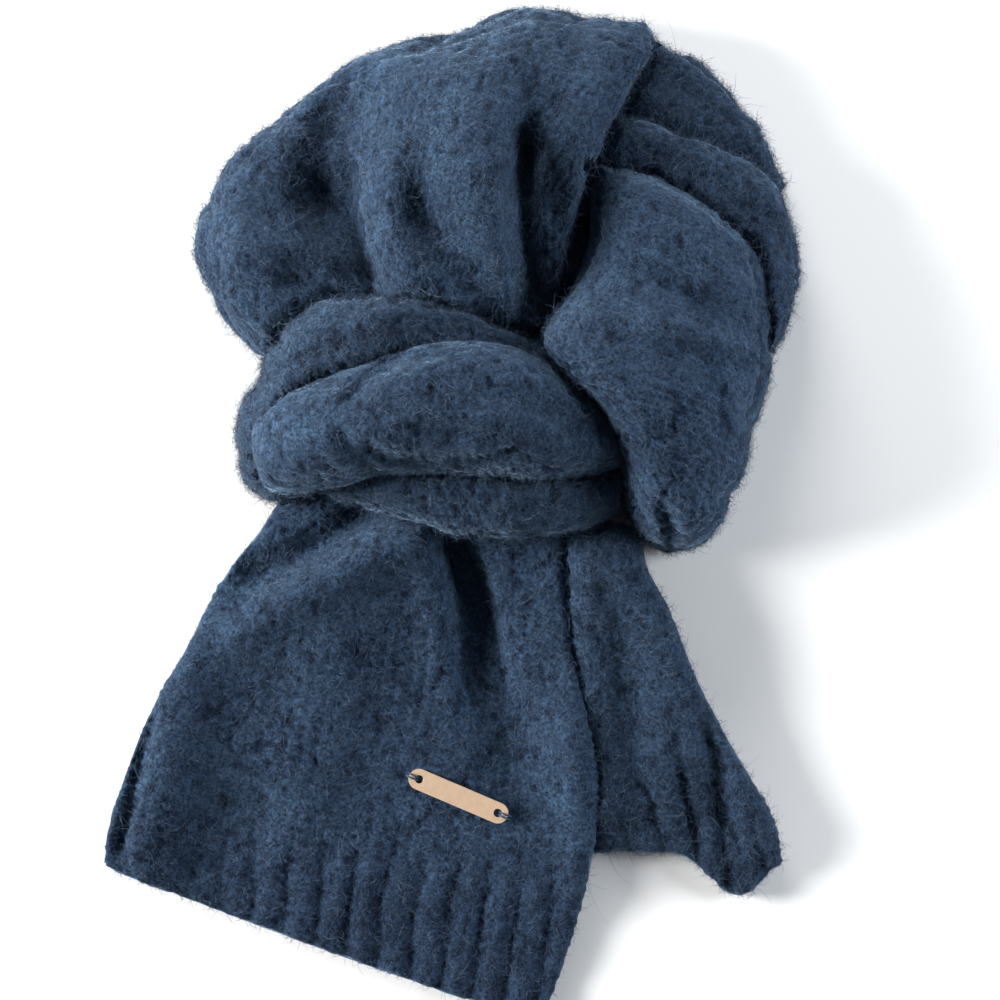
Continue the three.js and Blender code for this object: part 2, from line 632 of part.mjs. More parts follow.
// The plate lies on the cloth: its slopes follow the cloth under its two ends and sides.
function addPlate() {
  const tail = TAILS[0];
  const centre = sheetPoint(tail, PLATE_PLACE.along, PLATE_PLACE.across, 'outer');
  const spots = underPlate(tail, centre);
  const mean = (list) => list.reduce((sum, spot) => sum + spot.height, 0) / list.length;
  const slope = (field, reach) => {
    const high = mean(spots.filter((spot) => spot[field] > reach));
    const low = mean(spots.filter((spot) => spot[field] < -reach));
    return (high - low) / (2 * reach);
  };
  const slopeAlong = slope('along', PLATE_LENGTH * 0.3);
  const slopeAcross = slope('across', PLATE_WIDTH * 0.3);
  const above = spots.map((spot) => spot.height - spot.along * slopeAlong - spot.across * slopeAcross);
  const height = Math.max(...above) + SEAM_GAP;
  addPiece('label_plate', plateGeometry(), METAL);
  const plate = scarf.children[scarf.children.length - 1];
  const long = new THREE.Vector3(Math.cos(PLATE_TILT), Math.sin(PLATE_TILT), slopeAlong).normalize();
  const wide = new THREE.Vector3(-Math.sin(PLATE_TILT), Math.cos(PLATE_TILT), slopeAcross);
  const up = new THREE.Vector3().crossVectors(long, wide).normalize();
  wide.crossVectors(up, long);
  plate.quaternion.setFromRotationMatrix(new THREE.Matrix4().makeBasis(long, wide, up));
  plate.position.add(new THREE.Vector3(centre.x, centre.y, height));
}

addPlate();

export default scarf;
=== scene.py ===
"""A knotted scarf of chunky brushed knit, laid down and seen from above.

The pieces follow from the one on top of the knot down to the tails and the label plate, then the
table it lies on, the light and the camera. Sizes are in millimetres in the plan frame of the
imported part, and go into the meshes in metres.
"""
import bmesh
import bpy
import numpy as np
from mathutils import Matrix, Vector


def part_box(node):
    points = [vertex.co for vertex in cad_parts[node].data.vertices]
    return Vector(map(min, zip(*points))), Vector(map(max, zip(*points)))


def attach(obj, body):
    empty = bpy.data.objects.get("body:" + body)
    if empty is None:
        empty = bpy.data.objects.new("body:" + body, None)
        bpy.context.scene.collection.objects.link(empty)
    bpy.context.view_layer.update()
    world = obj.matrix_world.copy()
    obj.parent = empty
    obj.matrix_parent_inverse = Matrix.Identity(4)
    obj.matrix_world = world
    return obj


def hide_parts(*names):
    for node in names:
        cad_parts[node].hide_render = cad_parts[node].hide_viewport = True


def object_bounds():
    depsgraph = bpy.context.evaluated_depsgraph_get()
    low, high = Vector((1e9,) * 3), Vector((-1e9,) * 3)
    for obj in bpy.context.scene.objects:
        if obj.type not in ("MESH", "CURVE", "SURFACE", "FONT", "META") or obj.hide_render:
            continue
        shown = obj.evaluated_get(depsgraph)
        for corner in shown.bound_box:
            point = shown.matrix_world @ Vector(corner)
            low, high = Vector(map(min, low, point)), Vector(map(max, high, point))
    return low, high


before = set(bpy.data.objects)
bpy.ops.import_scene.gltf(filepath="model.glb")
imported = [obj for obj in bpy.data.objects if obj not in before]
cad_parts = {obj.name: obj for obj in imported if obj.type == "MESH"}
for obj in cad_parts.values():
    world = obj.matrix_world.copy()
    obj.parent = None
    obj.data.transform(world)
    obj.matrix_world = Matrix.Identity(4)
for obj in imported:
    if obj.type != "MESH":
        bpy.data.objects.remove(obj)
cad_low, cad_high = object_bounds()


# Right lobe of the neck loop. It is a folded width of the brushed mohair knit that comes over
# the top of the loop and down past the knot, where it turns under.
CLOTH = 5.5
TABLE_GAP = 0.02
TUCK = 9.0
TUCK_PART = 0.1
TUCK_OF_HALF = 0.45
TUCK_OF_ROOM = 0.4
FOLD_POWER = 0.84
FOLD_END = 1.6
FADE_LEAST = 12
FADE_BY_DEPTH = 1.6
PLAN_CENTRE = np.array([0.15, -8.305, 0.0])

# A section runs from its edge a to its edge b in the plan. It has a crown height, the crown's
# place across as a share, the heights of its two feet, and the bow of its line.
SECTION = ("ax", "ay", "bx", "by", "crown", "lean", "foot_a", "foot_b", "bow")

# A fold is a bowed line in the plan with a width, and a rise that is negative for a valley.
FOLD = ("x0", "y0", "x1", "y1", "bow", "width", "rise")


def table(columns, rows):
    """Named columns of a short table: one array for each column."""
    return {name: np.array([row[i] for row in rows], float) for i, name in enumerate(columns)}


def column(rows, name, u):
    """Value of a column along the path: a Catmull-Rom curve through its rows."""
    value = rows[name]
    last = len(value) - 1
    at = np.asarray(u, float) * last
    i = np.clip(np.floor(at).astype(int), 0, last - 1)
    t = at - i
    before, here = value[np.maximum(i - 1, 0)], value[i]
    after, later = value[i + 1], value[np.minimum(i + 2, last)]
    slope_here, slope_after = (after - before) / 2, (later - here) / 2
    rise = after - here
    square = t * t * (3 * rise - 2 * slope_here - slope_after)
    cube = t ** 3 * (slope_here + slope_after - 2 * rise)
    return here + slope_here * t + square + cube


def smooth(value, low, high):
    """Smooth step from 0 at low to 1 at high."""
    t = np.clip((value - low) / (high - low), 0, 1)
    return t * t * (3 - 2 * t)


def fold_rise(folds, x, y):
    """Height that the folds add at plan places: a bell across each line, fading past its ends."""
    total = np.zeros(np.broadcast(x, y).shape)
    for x0, y0, x1, y1, bow, width, rise in zip(*(folds[name] for name in FOLD)):
        dx, dy = x1 - x0, y1 - y0
        length = np.hypot(dx, dy)
        along = ((x - x0) * dx + (y - y0) * dy) / length
        t = np.clip(along / length, 0, 1)
        side = (-(x - x0) * dy + (y - y0) * dx) / length
        off = (side - bow * 4 * t * (1 - t)) / width
        past = (along - t * length) / (width * FOLD_END)
        total += rise * np.exp(-off ** 2 - past ** 2)
    return total


def cap_shrink(distance, reach):
    """Share of the section left near a rounded end: a quarter circle over the reach."""
    if not reach:
        return np.ones_like(distance)
    return np.sqrt(1 - (1 - np.clip(distance / reach, 0, 1)) ** 2)


def fold_surface(stretch, u, s, inset):
    """Points of a folded stretch: foot, turned edge, superellipse over the crown, and back down.

    u runs along the path, s across it. Inset moves the surface inwards, for the inner side. A
    capped end is rounded off: in height alone where it is an edge, and in width too elsewhere.
    """
    rows, length = stretch["rows"], stretch["length"]
    start, end = stretch.get("cap_start", 0), stretch.get("cap_end", 0)
    first = inset / length if start else 0
    last = inset / length if end else 0
    v = first + u * (1 - first - last)
    get = {name: column(rows, name, v)[:, None] for name in SECTION}
    s = s[None, :]
    across_x, across_y = get["bx"] - get["ax"], get["by"] - get["ay"]
    width = np.hypot(across_x, across_y)
    across_x, across_y = across_x / width, across_y / width
    half = width / 2 - inset
    room = get["crown"] - np.maximum(get["foot_a"], get["foot_b"]) - 2 * inset
    tuck = np.minimum(np.minimum(TUCK - inset * 0.5, half * TUCK_OF_HALF), room * TUCK_OF_ROOM)
    crown, lean = get["crown"] - inset, get["lean"]
    turn = np.minimum(np.minimum(s, 1 - s) / TUCK_PART, 1) * np.pi / 2
    k = (s - TUCK_PART) / (1 - 2 * TUCK_PART)
    on_a = k < lean
    share = np.clip(np.where(on_a, k / lean, (1 - k) / (1 - lean)), 0, 1)
    angle = share * np.pi / 2
    out = 1 - np.cos(angle) ** FOLD_POWER
    up = np.sin(angle) ** FOLD_POWER
    foot = np.where(on_a, get["foot_a"], get["foot_b"]) + inset
    reach = 2 * half * np.where(on_a, lean, 1 - lean)
    side = np.where(share > 0, reach * out, tuck * (1 - np.sin(turn)))
    x = np.where(on_a, side, 2 * half - side)
    raised = foot + tuck + (crown - foot - tuck) * up
    z = np.where(share > 0, raised, foot + tuck * (1 - np.cos(turn)))
    part = x / (2 * half)
    bow = get["bow"] * 4 * part * (1 - part)
    px = get["ax"] + across_x * (x + inset) - across_y * bow
    py = get["ay"] + across_y * (x + inset) + across_x * bow
    waist = (get["foot_a"] + get["foot_b"]) / 2 + inset + tuck
    deepest = max(0, *(-stretch["folds"]["rise"]))
    fade = smooth(z - waist, 0, max(FADE_LEAST, FADE_BY_DEPTH * deepest))
    z = np.where(z > waist, z + fold_rise(stretch["folds"], px, py) * fade, z)
    at_start = cap_shrink(v - first, start)[:, None]
    at_end = cap_shrink(1 - last - v, end)[:, None]
    narrow_start = 1 if stretch.get("edge_start") else at_start
    narrow_end = 1 if stretch.get("edge_end") else at_end
    narrow = narrow_start * narrow_end
    middle_x = (get["ax"] + get["bx"]) / 2 - across_y * get["bow"]
    middle_y = (get["ay"] + get["by"]) / 2 + across_x * get["bow"]
    px = middle_x + (px - middle_x) * narrow
    py = middle_y + (py - middle_y) * narrow
    z = waist + (z - waist) * at_start * at_end
    return np.stack([px, py, np.maximum(z, max(inset, 0))], axis=2)


def lattice(ix, iy, iz, seed):
    """A repeatable number from 0 to 1 for each lattice point."""
    mixed = (ix * 374761393 + iy * 668265263 + iz * 2147483647 + seed * 1274126177) & 0xFFFFFFFF
    mixed = ((mixed ^ (mixed >> 13)) * 1103515245) & 0xFFFFFFFF
    return ((mixed ^ (mixed >> 16)) & 0xFFFF) / 65535.0


def cloudy(x, y, z, size, seed):
    """Value noise from -1 to 1: lattice numbers, blended smoothly between lattice points."""
    p = [np.asarray(c, float) / size for c in (x, y, z)]
    base = [np.floor(c).astype(np.int64) for c in p]
    t = [c - b for c, b in zip(p, base)]
    t = [c * c * (3 - 2 * c) for c in t]
    total = 0
    for i, j, k in np.ndindex(2, 2, 2):
        near_x = t[0] if i else 1 - t[0]
        near_y = t[1] if j else 1 - t[1]
        near_z = t[2] if k else 1 - t[2]
        corner = lattice(base[0] + i, base[1] + j, base[2] + k, seed)
        total = total + near_x * near_y * near_z * corner
    return total * 2 - 1


def arc_lengths(points):
    """Distance walked over the cloth, across from the grid's middle line, and along the path.

    The distance along is seven parts of the middle line's to three of each line's own.
    """
    step_u = np.linalg.norm(np.diff(points, axis=0), axis=2)
    step_s = np.linalg.norm(np.diff(points, axis=1), axis=2)
    along = np.concatenate([np.zeros((1, points.shape[1])), np.cumsum(step_u, axis=0)])
    across = np.concatenate([np.zeros((points.shape[0], 1)), np.cumsum(step_s, axis=1)], axis=1)
    middle = points.shape[1] // 2
    along = 0.7 * along[:, middle:middle + 1] + 0.3 * along
    return along, across - across[:, middle:middle + 1]


def grid_normals(points):
    """Outward direction at each grid point: cross product of the two grid directions."""
    du = np.gradient(points, axis=0)
    ds = np.gradient(points, axis=1)
    normal = np.cross(ds, du)
    size = np.linalg.norm(normal, axis=2, keepdims=True)
    normal = normal / np.maximum(size, 1e-9)
    top = normal[normal.shape[0] // 2, normal.shape[1] // 2, 2]
    return normal if top > 0 else -normal


STITCH_WIDE = 7.0
STITCH_TALL = 5.2
STITCH_SLANT = 0.55
STITCH_RISE = 1.3
STITCH_LEVEL = 0.45
LUMP_RISE = 0.45
PIT_DEPTH = 1.2
PUCKER_RISE = 0.8
SLOW_RISE = 0.8
DRIFT = 2.2
GRAIN = {"drift": 17, "felting": 24, "lump": 4.6, "small_lump": 2.4, "pit": 3.9, "pucker": 14,
         "slow": 38}

# A crease of the sides has its side (0 for edge a, 1 for edge b), its place along the path as a
# share, its slant, its width and its rise.
SIDE_FOLD = ("side", "at", "slant", "width", "rise")
SIDE_MIDDLE = 24.0
STEEP_FROM = 0.3
STEEP_FULL = 0.75
GROOVE_WAVER = 3.5
GROOVE_GRAIN = 45


def knit_relief(points, seed):
    """Relief of the felted knit, and the painted shade of its hollows there, from 0 to 1.

    A stitch is a cosine along its row times a bell across its two slanted legs. Felting fades it,
    and lumps, pits and slow puckers of value noise are added.
    """
    along, across = arc_lengths(points)
    x, y, z = points[..., 0], points[..., 1], points[..., 2]
    drift = DRIFT * cloudy(x, y, z, GRAIN["drift"], seed)
    a = (across + drift) / STITCH_WIDE
    leg = np.abs((a % 1) - 0.5) * 2
    row = (along + drift) / STITCH_TALL + leg * STITCH_SLANT
    stitch = (0.5 + 0.5 * np.cos(2 * np.pi * row)) * (1 - leg ** 3)
    felting = smooth(cloudy(x, y, z, GRAIN["felting"], seed + 1), -0.6, 0.5)
    small = cloudy(x, y, z, GRAIN["small_lump"], seed + 3)
    lumps = cloudy(x, y, z, GRAIN["lump"], seed + 2) + 0.6 * small
    pits = -smooth(cloudy(x, y, z, GRAIN["pit"], seed + 4), 0.15, 0.8)
    puckers = cloudy(x, y, z, GRAIN["pucker"], seed + 6)
    slow = cloudy(x, y, z, GRAIN["slow"], seed + 5)
    fine = STITCH_RISE * (stitch - STITCH_LEVEL) * felting + LUMP_RISE * lumps + PIT_DEPTH * pits
    return fine + PUCKER_RISE * puckers + SLOW_RISE * slow, smooth(-fine, -0.3, 1.5)


def side_relief(stretch, points, normal, u):
    """Relief of the steep sides: creases that run down them, and the grooves between layers.

    A crease is a bell across its slanted line, and a groove one across its wavering height.
    """
    z = points[..., 2]
    steep = smooth(1 - np.abs(normal[..., 2]), STEEP_FROM, STEEP_FULL)
    half = points.shape[1] // 2
    on_a = (np.arange(points.shape[1]) < half)[None, :]
    total = np.zeros(z.shape)
    sides = stretch["sides"]
    for side, at, slant, width, rise in zip(*(sides[name] for name in SIDE_FOLD)):
        away = (u[:, None] - at) * stretch["length"] + slant * (z - SIDE_MIDDLE)
        total += rise * np.exp(-(away / width) ** 2) * np.where(side == 0, on_a, ~on_a)
    waver = GROOVE_WAVER * cloudy(points[..., 0], points[..., 1], 0 * z, GROOVE_GRAIN, 90)
    for height, width, depth in stretch["grooves"]:
        total -= depth * np.exp(-((z - height - waver) / width) ** 2)
    return total * steep


RASTER = 1.25
RASTER_LOW = np.array([-190.0, -280.0])
RASTER_SHAPE = (310, 440)
FAR_ABOVE = 200
GAP_CELLS = 6
GROOVE_CELLS = 4
EDGE_CELLS = 1
GROOVE_FROM = 8
GROOVE_FULL = 16
PRESSED_GAP = 1.2
above = np.full(RASTER_SHAPE, 1e6)
covered = np.zeros(RASTER_SHAPE, bool)


def sample(field, x, y):
    """Value of a plan raster at each place, blended between its cells."""
    at_x = np.clip((x - RASTER_LOW[0]) / RASTER - 0.5, 0, RASTER_SHAPE[0] - 1.001)
    at_y = np.clip((y - RASTER_LOW[1]) / RASTER - 0.5, 0, RASTER_SHAPE[1] - 1.001)
    i, j = at_x.astype(int), at_y.astype(int)
    t_x, t_y = at_x - i, at_y - j
    low = field[i, j] * (1 - t_y) + field[i, j + 1] * t_y
    high = field[i + 1, j] * (1 - t_y) + field[i + 1, j + 1] * t_y
    return low * (1 - t_x) + high * t_x


def around(field, join):
    """Joins each raster cell with its eight neighbours."""
    steps = [(i, j) for i in (-1, 0, 1) for j in (-1, 0, 1)]
    return join.reduce([np.roll(field, step, axis=(0, 1)) for step in steps])


def blur(field, reach):
    """Mean over a square of cells, twice, so that steps become soft ramps."""
    for _ in range(2):
        for axis in (0, 1):
            total = sum(np.roll(field, k, axis=axis) for k in range(-reach, reach + 1))
            field = total / (2 * reach + 1)
    return field


def lie_over(points):
    """Records the top of a piece, so that the pieces below it stay under it."""
    global above, covered
    top = np.full(RASTER_SHAPE, -1.0)
    cell = ((points[..., :2] - RASTER_LOW) / RASTER).astype(int)
    cell = np.clip(cell, 0, np.array(RASTER_SHAPE) - 1)
    np.maximum.at(top, (cell[..., 0], cell[..., 1]), points[..., 2])
    filled = around(around(top >= 0, np.logical_or), np.logical_and)
    for _ in range(GAP_CELLS):
        top = np.where(top < 0, around(top, np.maximum), top)
    above = np.where(top >= 0, np.minimum(above, top), above)
    covered = covered | filled


def lie_under(points, sink):
    """Presses a piece under all that lies over it, with a soft groove along their outlines."""
    if not covered.any():
        return points
    x, y, z = points[..., 0], points[..., 1], points[..., 2]
    mask = covered.astype(float)
    near = sample(blur(mask, GROOVE_CELLS), x, y)
    hidden = smooth(sample(blur(mask, EDGE_CELLS), x, y), 0.3, 0.8)
    high = np.clip((z - GROOVE_FROM) / GROOVE_FULL, 0, 1)
    lowered = z - sink * smooth(near, 0.0, 0.5) * high
    ceiling = sample(np.minimum(above, FAR_ABOVE), x, y) - CLOTH * PRESSED_GAP
    pressed = lowered * (1 - hidden) + np.minimum(lowered, ceiling) * hidden
    return np.stack([x, y, np.maximum(pressed, TABLE_GAP)], axis=-1)


def rim(fine, coarse, flip):
    """Strip between a fine edge and a coarse one that has one point for each few fine points."""
    share = (len(fine) - 1) // (len(coarse) - 1)
    step = np.arange(len(fine) - 1)
    nearest = np.minimum((step + share // 2 + 1) // share, len(coarse) - 1)
    fans = np.stack([fine[:-1], fine[1:], coarse[nearest]], axis=1)
    jump = np.arange(len(coarse) - 1)
    before = np.searchsorted(nearest, jump + 1)
    rungs = np.stack([coarse[:-1], fine[before], coarse[1:]], axis=1)
    faces = np.concatenate([fans, rungs])
    return faces[:, ::-1] if flip else faces


COARSE = 4
# Painted shade on the inner side of the cloth, which is darkened in the colour.
INNER_PAINTED_SHADE = 0.9


def grid_faces(index):
    """The four-sided faces of a grid of point numbers."""
    corners = [index[:-1, :-1], index[:-1, 1:], index[1:, 1:], index[1:, :-1]]
    return np.stack(corners, axis=-1).reshape(-1, 4)


def add_piece(name, data):
    """Puts a mesh, lamp or camera into the scene, at the origin."""
    piece = bpy.data.objects.new(name, data)
    bpy.context.scene.collection.objects.link(piece)
    return piece


def wall_mesh(name, outer, inner, painted_shade):
    """A closed wall: the outer grid, the coarser inner grid, and a rim along each edge.

    Its attribute of painted shade is 1 at the bottom of a stitch or pit and 0 on top of the yarn, and
    the material darkens the colour by it.
    """
    n, m = outer.shape[:2]
    p, q = inner.shape[:2]
    index = np.arange(n * m).reshape(n, m)
    index_in = np.arange(p * q).reshape(p, q) + n * m
    faces = [*grid_faces(index).tolist(), *grid_faces(index_in)[:, [0, 3, 2, 1]].tolist()]
    rims = [
        rim(index[0], index_in[0], True),
        rim(index[-1], index_in[-1], False),
        rim(index[:, 0], index_in[:, 0], False),
        rim(index[:, -1], index_in[:, -1], True),
    ]
    points = np.concatenate([outer.reshape(-1, 3), inner.reshape(-1, 3)]) - PLAN_CENTRE
    mesh = bpy.data.meshes.new(name)
    mesh.from_pydata((points / 1000).tolist(), [], faces + np.concatenate(rims).tolist())
    depth = np.concatenate([painted_shade.ravel(), np.full(p * q, INNER_PAINTED_SHADE)])
    mesh.attributes.new("painted_shade", "FLOAT", "POINT").data.foreach_set("value", depth)
    outwards(mesh)
    mesh.shade_smooth()
    return add_piece(name, mesh)


def outwards(mesh):
    """Merges doubled points of closed ends and turns all faces outwards."""
    work = bmesh.new()
    work.from_mesh(mesh)
    bmesh.ops.remove_doubles(work, verts=work.verts, dist=2e-6)
    bmesh.ops.dissolve_degenerate(work, edges=work.edges, dist=1e-7)
    bmesh.ops.recalc_face_normals(work, faces=work.faces)
    work.to_mesh(mesh)
    work.free()


NAP_HAIRS = 150000
STRAY_HAIRS = 520
NAP_LOWEST = 2.5
NAP_ON_SIDES = 0.45
NAP_LENGTH = (4.0, 1.1)
NAP_LIFT = (3.0, 0.5)
NAP_LIFT_MOST = 4.0
NAP_HAIR = {"curl": 0.35, "width": 0.22, "segments": 2}
STRAY_LENGTH = (9, 24)
STRAY_LIFT = (1.0, 4.0)
STRAY_HAIR = {"curl": 0.6, "width": 0.16, "segments": 8}
HAIR_SINK = 0.3
HAIR_ARCH = 2.2
HAIR_TAPER = 0.75
HAIR_REACH = 8.0
HAIR_LOWEST = 0.1
HAIR_LOW = np.array([*cad_low[:2], 0]) * 1000 - np.array([HAIR_REACH, HAIR_REACH, -HAIR_LOWEST])
HAIR_HIGH = np.array(cad_high) * 1000 + HAIR_REACH

# Colours of the yarn, of its slow changes, of the painted light and shade over its stitches (lighter
# on top of the yarn, darker in its hollows) and of the hairs, each from a first stop to a second one.
YARN_TONES = [(0.37, (0.003, 0.009, 0.024)), (0.62, (0.035, 0.072, 0.134))]
CLOUD_TONES = [(0.3, (0.62, 0.62, 0.66)), (0.7, (1.15, 1.12, 1.08))]
PAINTED_SHADE_TONES = [(0.1, (1.12, 1.1, 1.08)), (0.9, (0.42, 0.46, 0.54))]
HAIR_TONES = [(0.3, (0.01, 0.022, 0.045)), (0.72, (0.047, 0.082, 0.138))]


def set_inputs(node, values):
    """Sets the named inputs of a node."""
    for name, value in values.items():
        node.inputs[name].default_value = value


def new_material(name, values):
    """A material whose main shader has these inputs, and that shader."""
    material = bpy.data.materials.new(name)
    material.use_nodes = True
    shader = material.node_tree.nodes["Principled BSDF"]
    set_inputs(shader, values)
    return material, shader


def noise(tree, scale, detail=2, roughness=0.5):
    """Noise that stays in place on the piece."""
    node = tree.nodes.new("ShaderNodeTexNoise")
    set_inputs(node, {"Scale": scale, "Detail": detail, "Roughness": roughness})
    place = tree.nodes.new("ShaderNodeTexCoord")
    tree.links.new(place.outputs["Object"], node.inputs["Vector"])
    return node.outputs["Fac"]


def tones(tree, value, stops):
    """Colour that runs from one stop to the other with the value."""
    node = tree.nodes.new("ShaderNodeValToRGB")
    for element, (position, colour) in zip(node.color_ramp.elements, stops):
        element.position = position
        element.color = (*colour, 1)
    tree.links.new(value, node.inputs["Fac"])
    return node.outputs["Color"]


def multiply(tree, first, second):
    """Product of two colours."""
    node = tree.nodes.new("ShaderNodeMix")
    node.data_type = "RGBA"
    node.blend_type = "MULTIPLY"
    node.inputs["Factor"].default_value = 1.0
    tree.links.new(first, node.inputs["A"])
    tree.links.new(second, node.inputs["B"])
    return node.outputs["Result"]


def bumps(tree, height, strength, distance):
    """Node that tilts the light on the surface by a height."""
    node = tree.nodes.new("ShaderNodeBump")
    set_inputs(node, {"Strength": strength, "Distance": distance})
    tree.links.new(height, node.inputs["Height"])
    return node


def brushed_knit():
    """Material of the knit: matt with sheen, and with painted shade that darkens it down between the
    stitches.
    """
    material, shader = new_material("brushed_knit", {
        "Roughness": 0.92, "Specular IOR Level": 0.18, "Sheen Weight": 0.55,
        "Sheen Roughness": 0.38, "Sheen Tint": (0.46, 0.7, 1.0, 1),
    })
    tree = material.node_tree
    yarn = tones(tree, noise(tree, 620, 6, 0.72), YARN_TONES)
    cloud = tones(tree, noise(tree, 38, 3, 0.55), CLOUD_TONES)
    # Painted shade: the colour is darkened where this attribute is high, in the hollows of the
    # stitches, on the inner side and over the hems.
    painted_shade = tree.nodes.new("ShaderNodeAttribute")
    painted_shade.attribute_name = "painted_shade"
    depth = tones(tree, painted_shade.outputs["Fac"], PAINTED_SHADE_TONES)
    colour = multiply(tree, multiply(tree, yarn, cloud), depth)
    tree.links.new(colour, shader.inputs["Base Color"])
    fine = bumps(tree, noise(tree, 900, 4, 0.6), 0.55, 0.0007)
    coarse = bumps(tree, noise(tree, 240, 4, 0.6), 0.8, 0.0016)
    tree.links.new(fine.outputs["Normal"], coarse.inputs["Normal"])
    tree.links.new(coarse.outputs["Normal"], shader.inputs["Normal"])
    return material


def mohair():
    """Material of the loose hairs: paler than the yarn, with a soft shine along them."""
    material, shader = new_material("mohair", {"Roughness": 0.6, "Specular IOR Level": 0.3})
    tree = material.node_tree
    colour = tones(tree, noise(tree, 180), HAIR_TONES)
    tree.links.new(colour, shader.inputs["Base Color"])
    return material


KNIT = brushed_knit()
HAIR = mohair()


def hair_mesh(name, root, direction, normal, length, lift, curl, width, segments, rng):
    """Thin ribbons: each leaves the cloth, arches over it and curls, and tapers to its tip.

    Point at t: root + direction * length * t + normal * lift * sin(HAIR_ARCH * t)
    + sideways * curl * length * t squared.
    """
    count = len(root)
    side = np.cross(direction, normal)
    t = np.linspace(0, 1, segments + 1)[None, :, None]
    bend = rng.normal(0, 1, (count, 1, 1)) * curl
    path = (root[:, None, :] + direction[:, None, :] * length[:, None, None] * t
            + normal[:, None, :] * lift[:, None, None] * np.sin(HAIR_ARCH * t)
            + side[:, None, :] * bend * length[:, None, None] * t ** 2)
    turn = rng.uniform(0, np.pi, (count, 1, 1))
    flat = side[:, None, :] * np.cos(turn) + normal[:, None, :] * np.sin(turn)
    half = flat * (width / 2) * (1 - HAIR_TAPER * t)
    points = np.stack([path - half, path + half], axis=2).reshape(-1, 3) - PLAN_CENTRE
    points = np.clip(points, HAIR_LOW, HAIR_HIGH)
    per = 2 * (segments + 1)
    start = np.arange(count)[:, None] * per + 2 * np.arange(segments)
    quads = np.stack([start, start + 1, start + 3, start + 2], axis=-1).reshape(-1, 4)
    mesh = bpy.data.meshes.new(name)
    mesh.vertices.add(len(points))
    mesh.vertices.foreach_set("co", (points / 1000).ravel())
    mesh.loops.add(quads.size)
    mesh.loops.foreach_set("vertex_index", quads.ravel())
    mesh.polygons.add(len(quads))
    mesh.polygons.foreach_set("loop_start", np.arange(len(quads)) * 4)
    mesh.update()
    mesh.validate()
    mesh.materials.append(HAIR)
    piece = add_piece(name, mesh)
    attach(piece, "root")
    return piece


PLATE_TILT = -0.4
PLATE_MIDDLE = np.mean(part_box("label_plate"), axis=0) * 1000 + PLAN_CENTRE
PLATE_REACH = (29.0, 6.5)


def under_plate(points):
    """Says which points lie under the label plate, where no nap stands."""
    x, y = points[..., 0] - PLATE_MIDDLE[0], points[..., 1] - PLATE_MIDDLE[1]
    along = x * np.cos(PLATE_TILT) + y * np.sin(PLATE_TILT)
    across = y * np.cos(PLATE_TILT) - x * np.sin(PLATE_TILT)
    return (np.abs(along) < PLATE_REACH[0]) & (np.abs(across) < PLATE_REACH[1])


def scatter(points, count, rng):
    """Random places on the part of a grid that shows, with their normals and grid directions.

    The chance of a cell is its area times a share that falls from 1 where it is level to
    NAP_ON_SIDES where it is steep.
    """
    du = points[1:, :-1] - points[:-1, :-1]
    ds = points[:-1, 1:] - points[:-1, :-1]
    normal = np.cross(ds, du)
    area = np.linalg.norm(normal, axis=2)
    if normal[normal.shape[0] // 2, normal.shape[1] // 2, 2] < 0:
        normal = -normal
    middle = (points[1:, 1:] + points[:-1, :-1]) / 2
    shows = sample(covered.astype(float), middle[..., 0], middle[..., 1]) < 0.6
    shows = shows * (middle[..., 2] > NAP_LOWEST) * ~under_plate(middle)
    level = np.abs(normal[..., 2]) / np.maximum(area, 1e-9)
    weight = area * (NAP_ON_SIDES + (1 - NAP_ON_SIDES) * level) * shows
    chance = (weight / weight.sum()).ravel()
    cell = rng.choice(len(chance), count, p=chance)
    i, j = np.unravel_index(cell, area.shape)
    a, b = rng.random((count, 1)), rng.random((count, 1))
    root = points[i, j] + du[i, j] * a + ds[i, j] * b
    normal = normal[i, j] / np.maximum(area[i, j][:, None], 1e-9)
    along = du[i, j] / np.maximum(np.linalg.norm(du[i, j], axis=1, keepdims=True), 1e-9)
    return root, normal, along


def hair_bed(points, count, rng):
    """Roots of hairs just inside the cloth, the way each one lies, and the cloth's normals."""
    root, normal, along = scatter(points, count, rng)
    turn = rng.uniform(0, 2 * np.pi, (count, 1))
    direction = along * np.cos(turn) + np.cross(normal, along) * np.sin(turn)
    return root - normal * HAIR_SINK, direction, normal


def nap(name, points, share, rng):
    """The brushed nap: short curved hairs all over what shows, and a few long stray ones.

    The short ones have gamma-shaped spreads of length and lift, the long ones even spreads.
    """
    count = int(NAP_HAIRS * share)
    bed = hair_bed(points, count, rng)
    length = rng.gamma(*NAP_LENGTH, count)
    lift = np.minimum(rng.gamma(*NAP_LIFT, count), NAP_LIFT_MOST)
    short = hair_mesh("nap_" + name, *bed, length, lift, rng=rng, **NAP_HAIR)
    count = int(STRAY_HAIRS * share)
    bed = hair_bed(points, count, rng)
    length = rng.uniform(*STRAY_LENGTH, count)
    lift = rng.uniform(*STRAY_LIFT, count)
    long = hair_mesh("strays_" + name, *bed, length, lift, rng=rng, **STRAY_HAIR)
    return [short, long]


GROOVE_SINK = 3.0
RELIEF_FROM = 1.0
RELIEF_FULL = 9.0
WALL_LEAST = 0.6
INNER_LOWEST = 0.5


def finish_stretch(name, outer, inner, painted_shade, seed, hairs):
    piece = wall_mesh(name + "_cloth", outer, inner, painted_shade)
    piece.data.materials.append(KNIT)
    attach(piece, "root")
    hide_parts(name)
    fuzz = nap(name, outer, hairs, np.random.default_rng(seed))
    lie_over(outer)


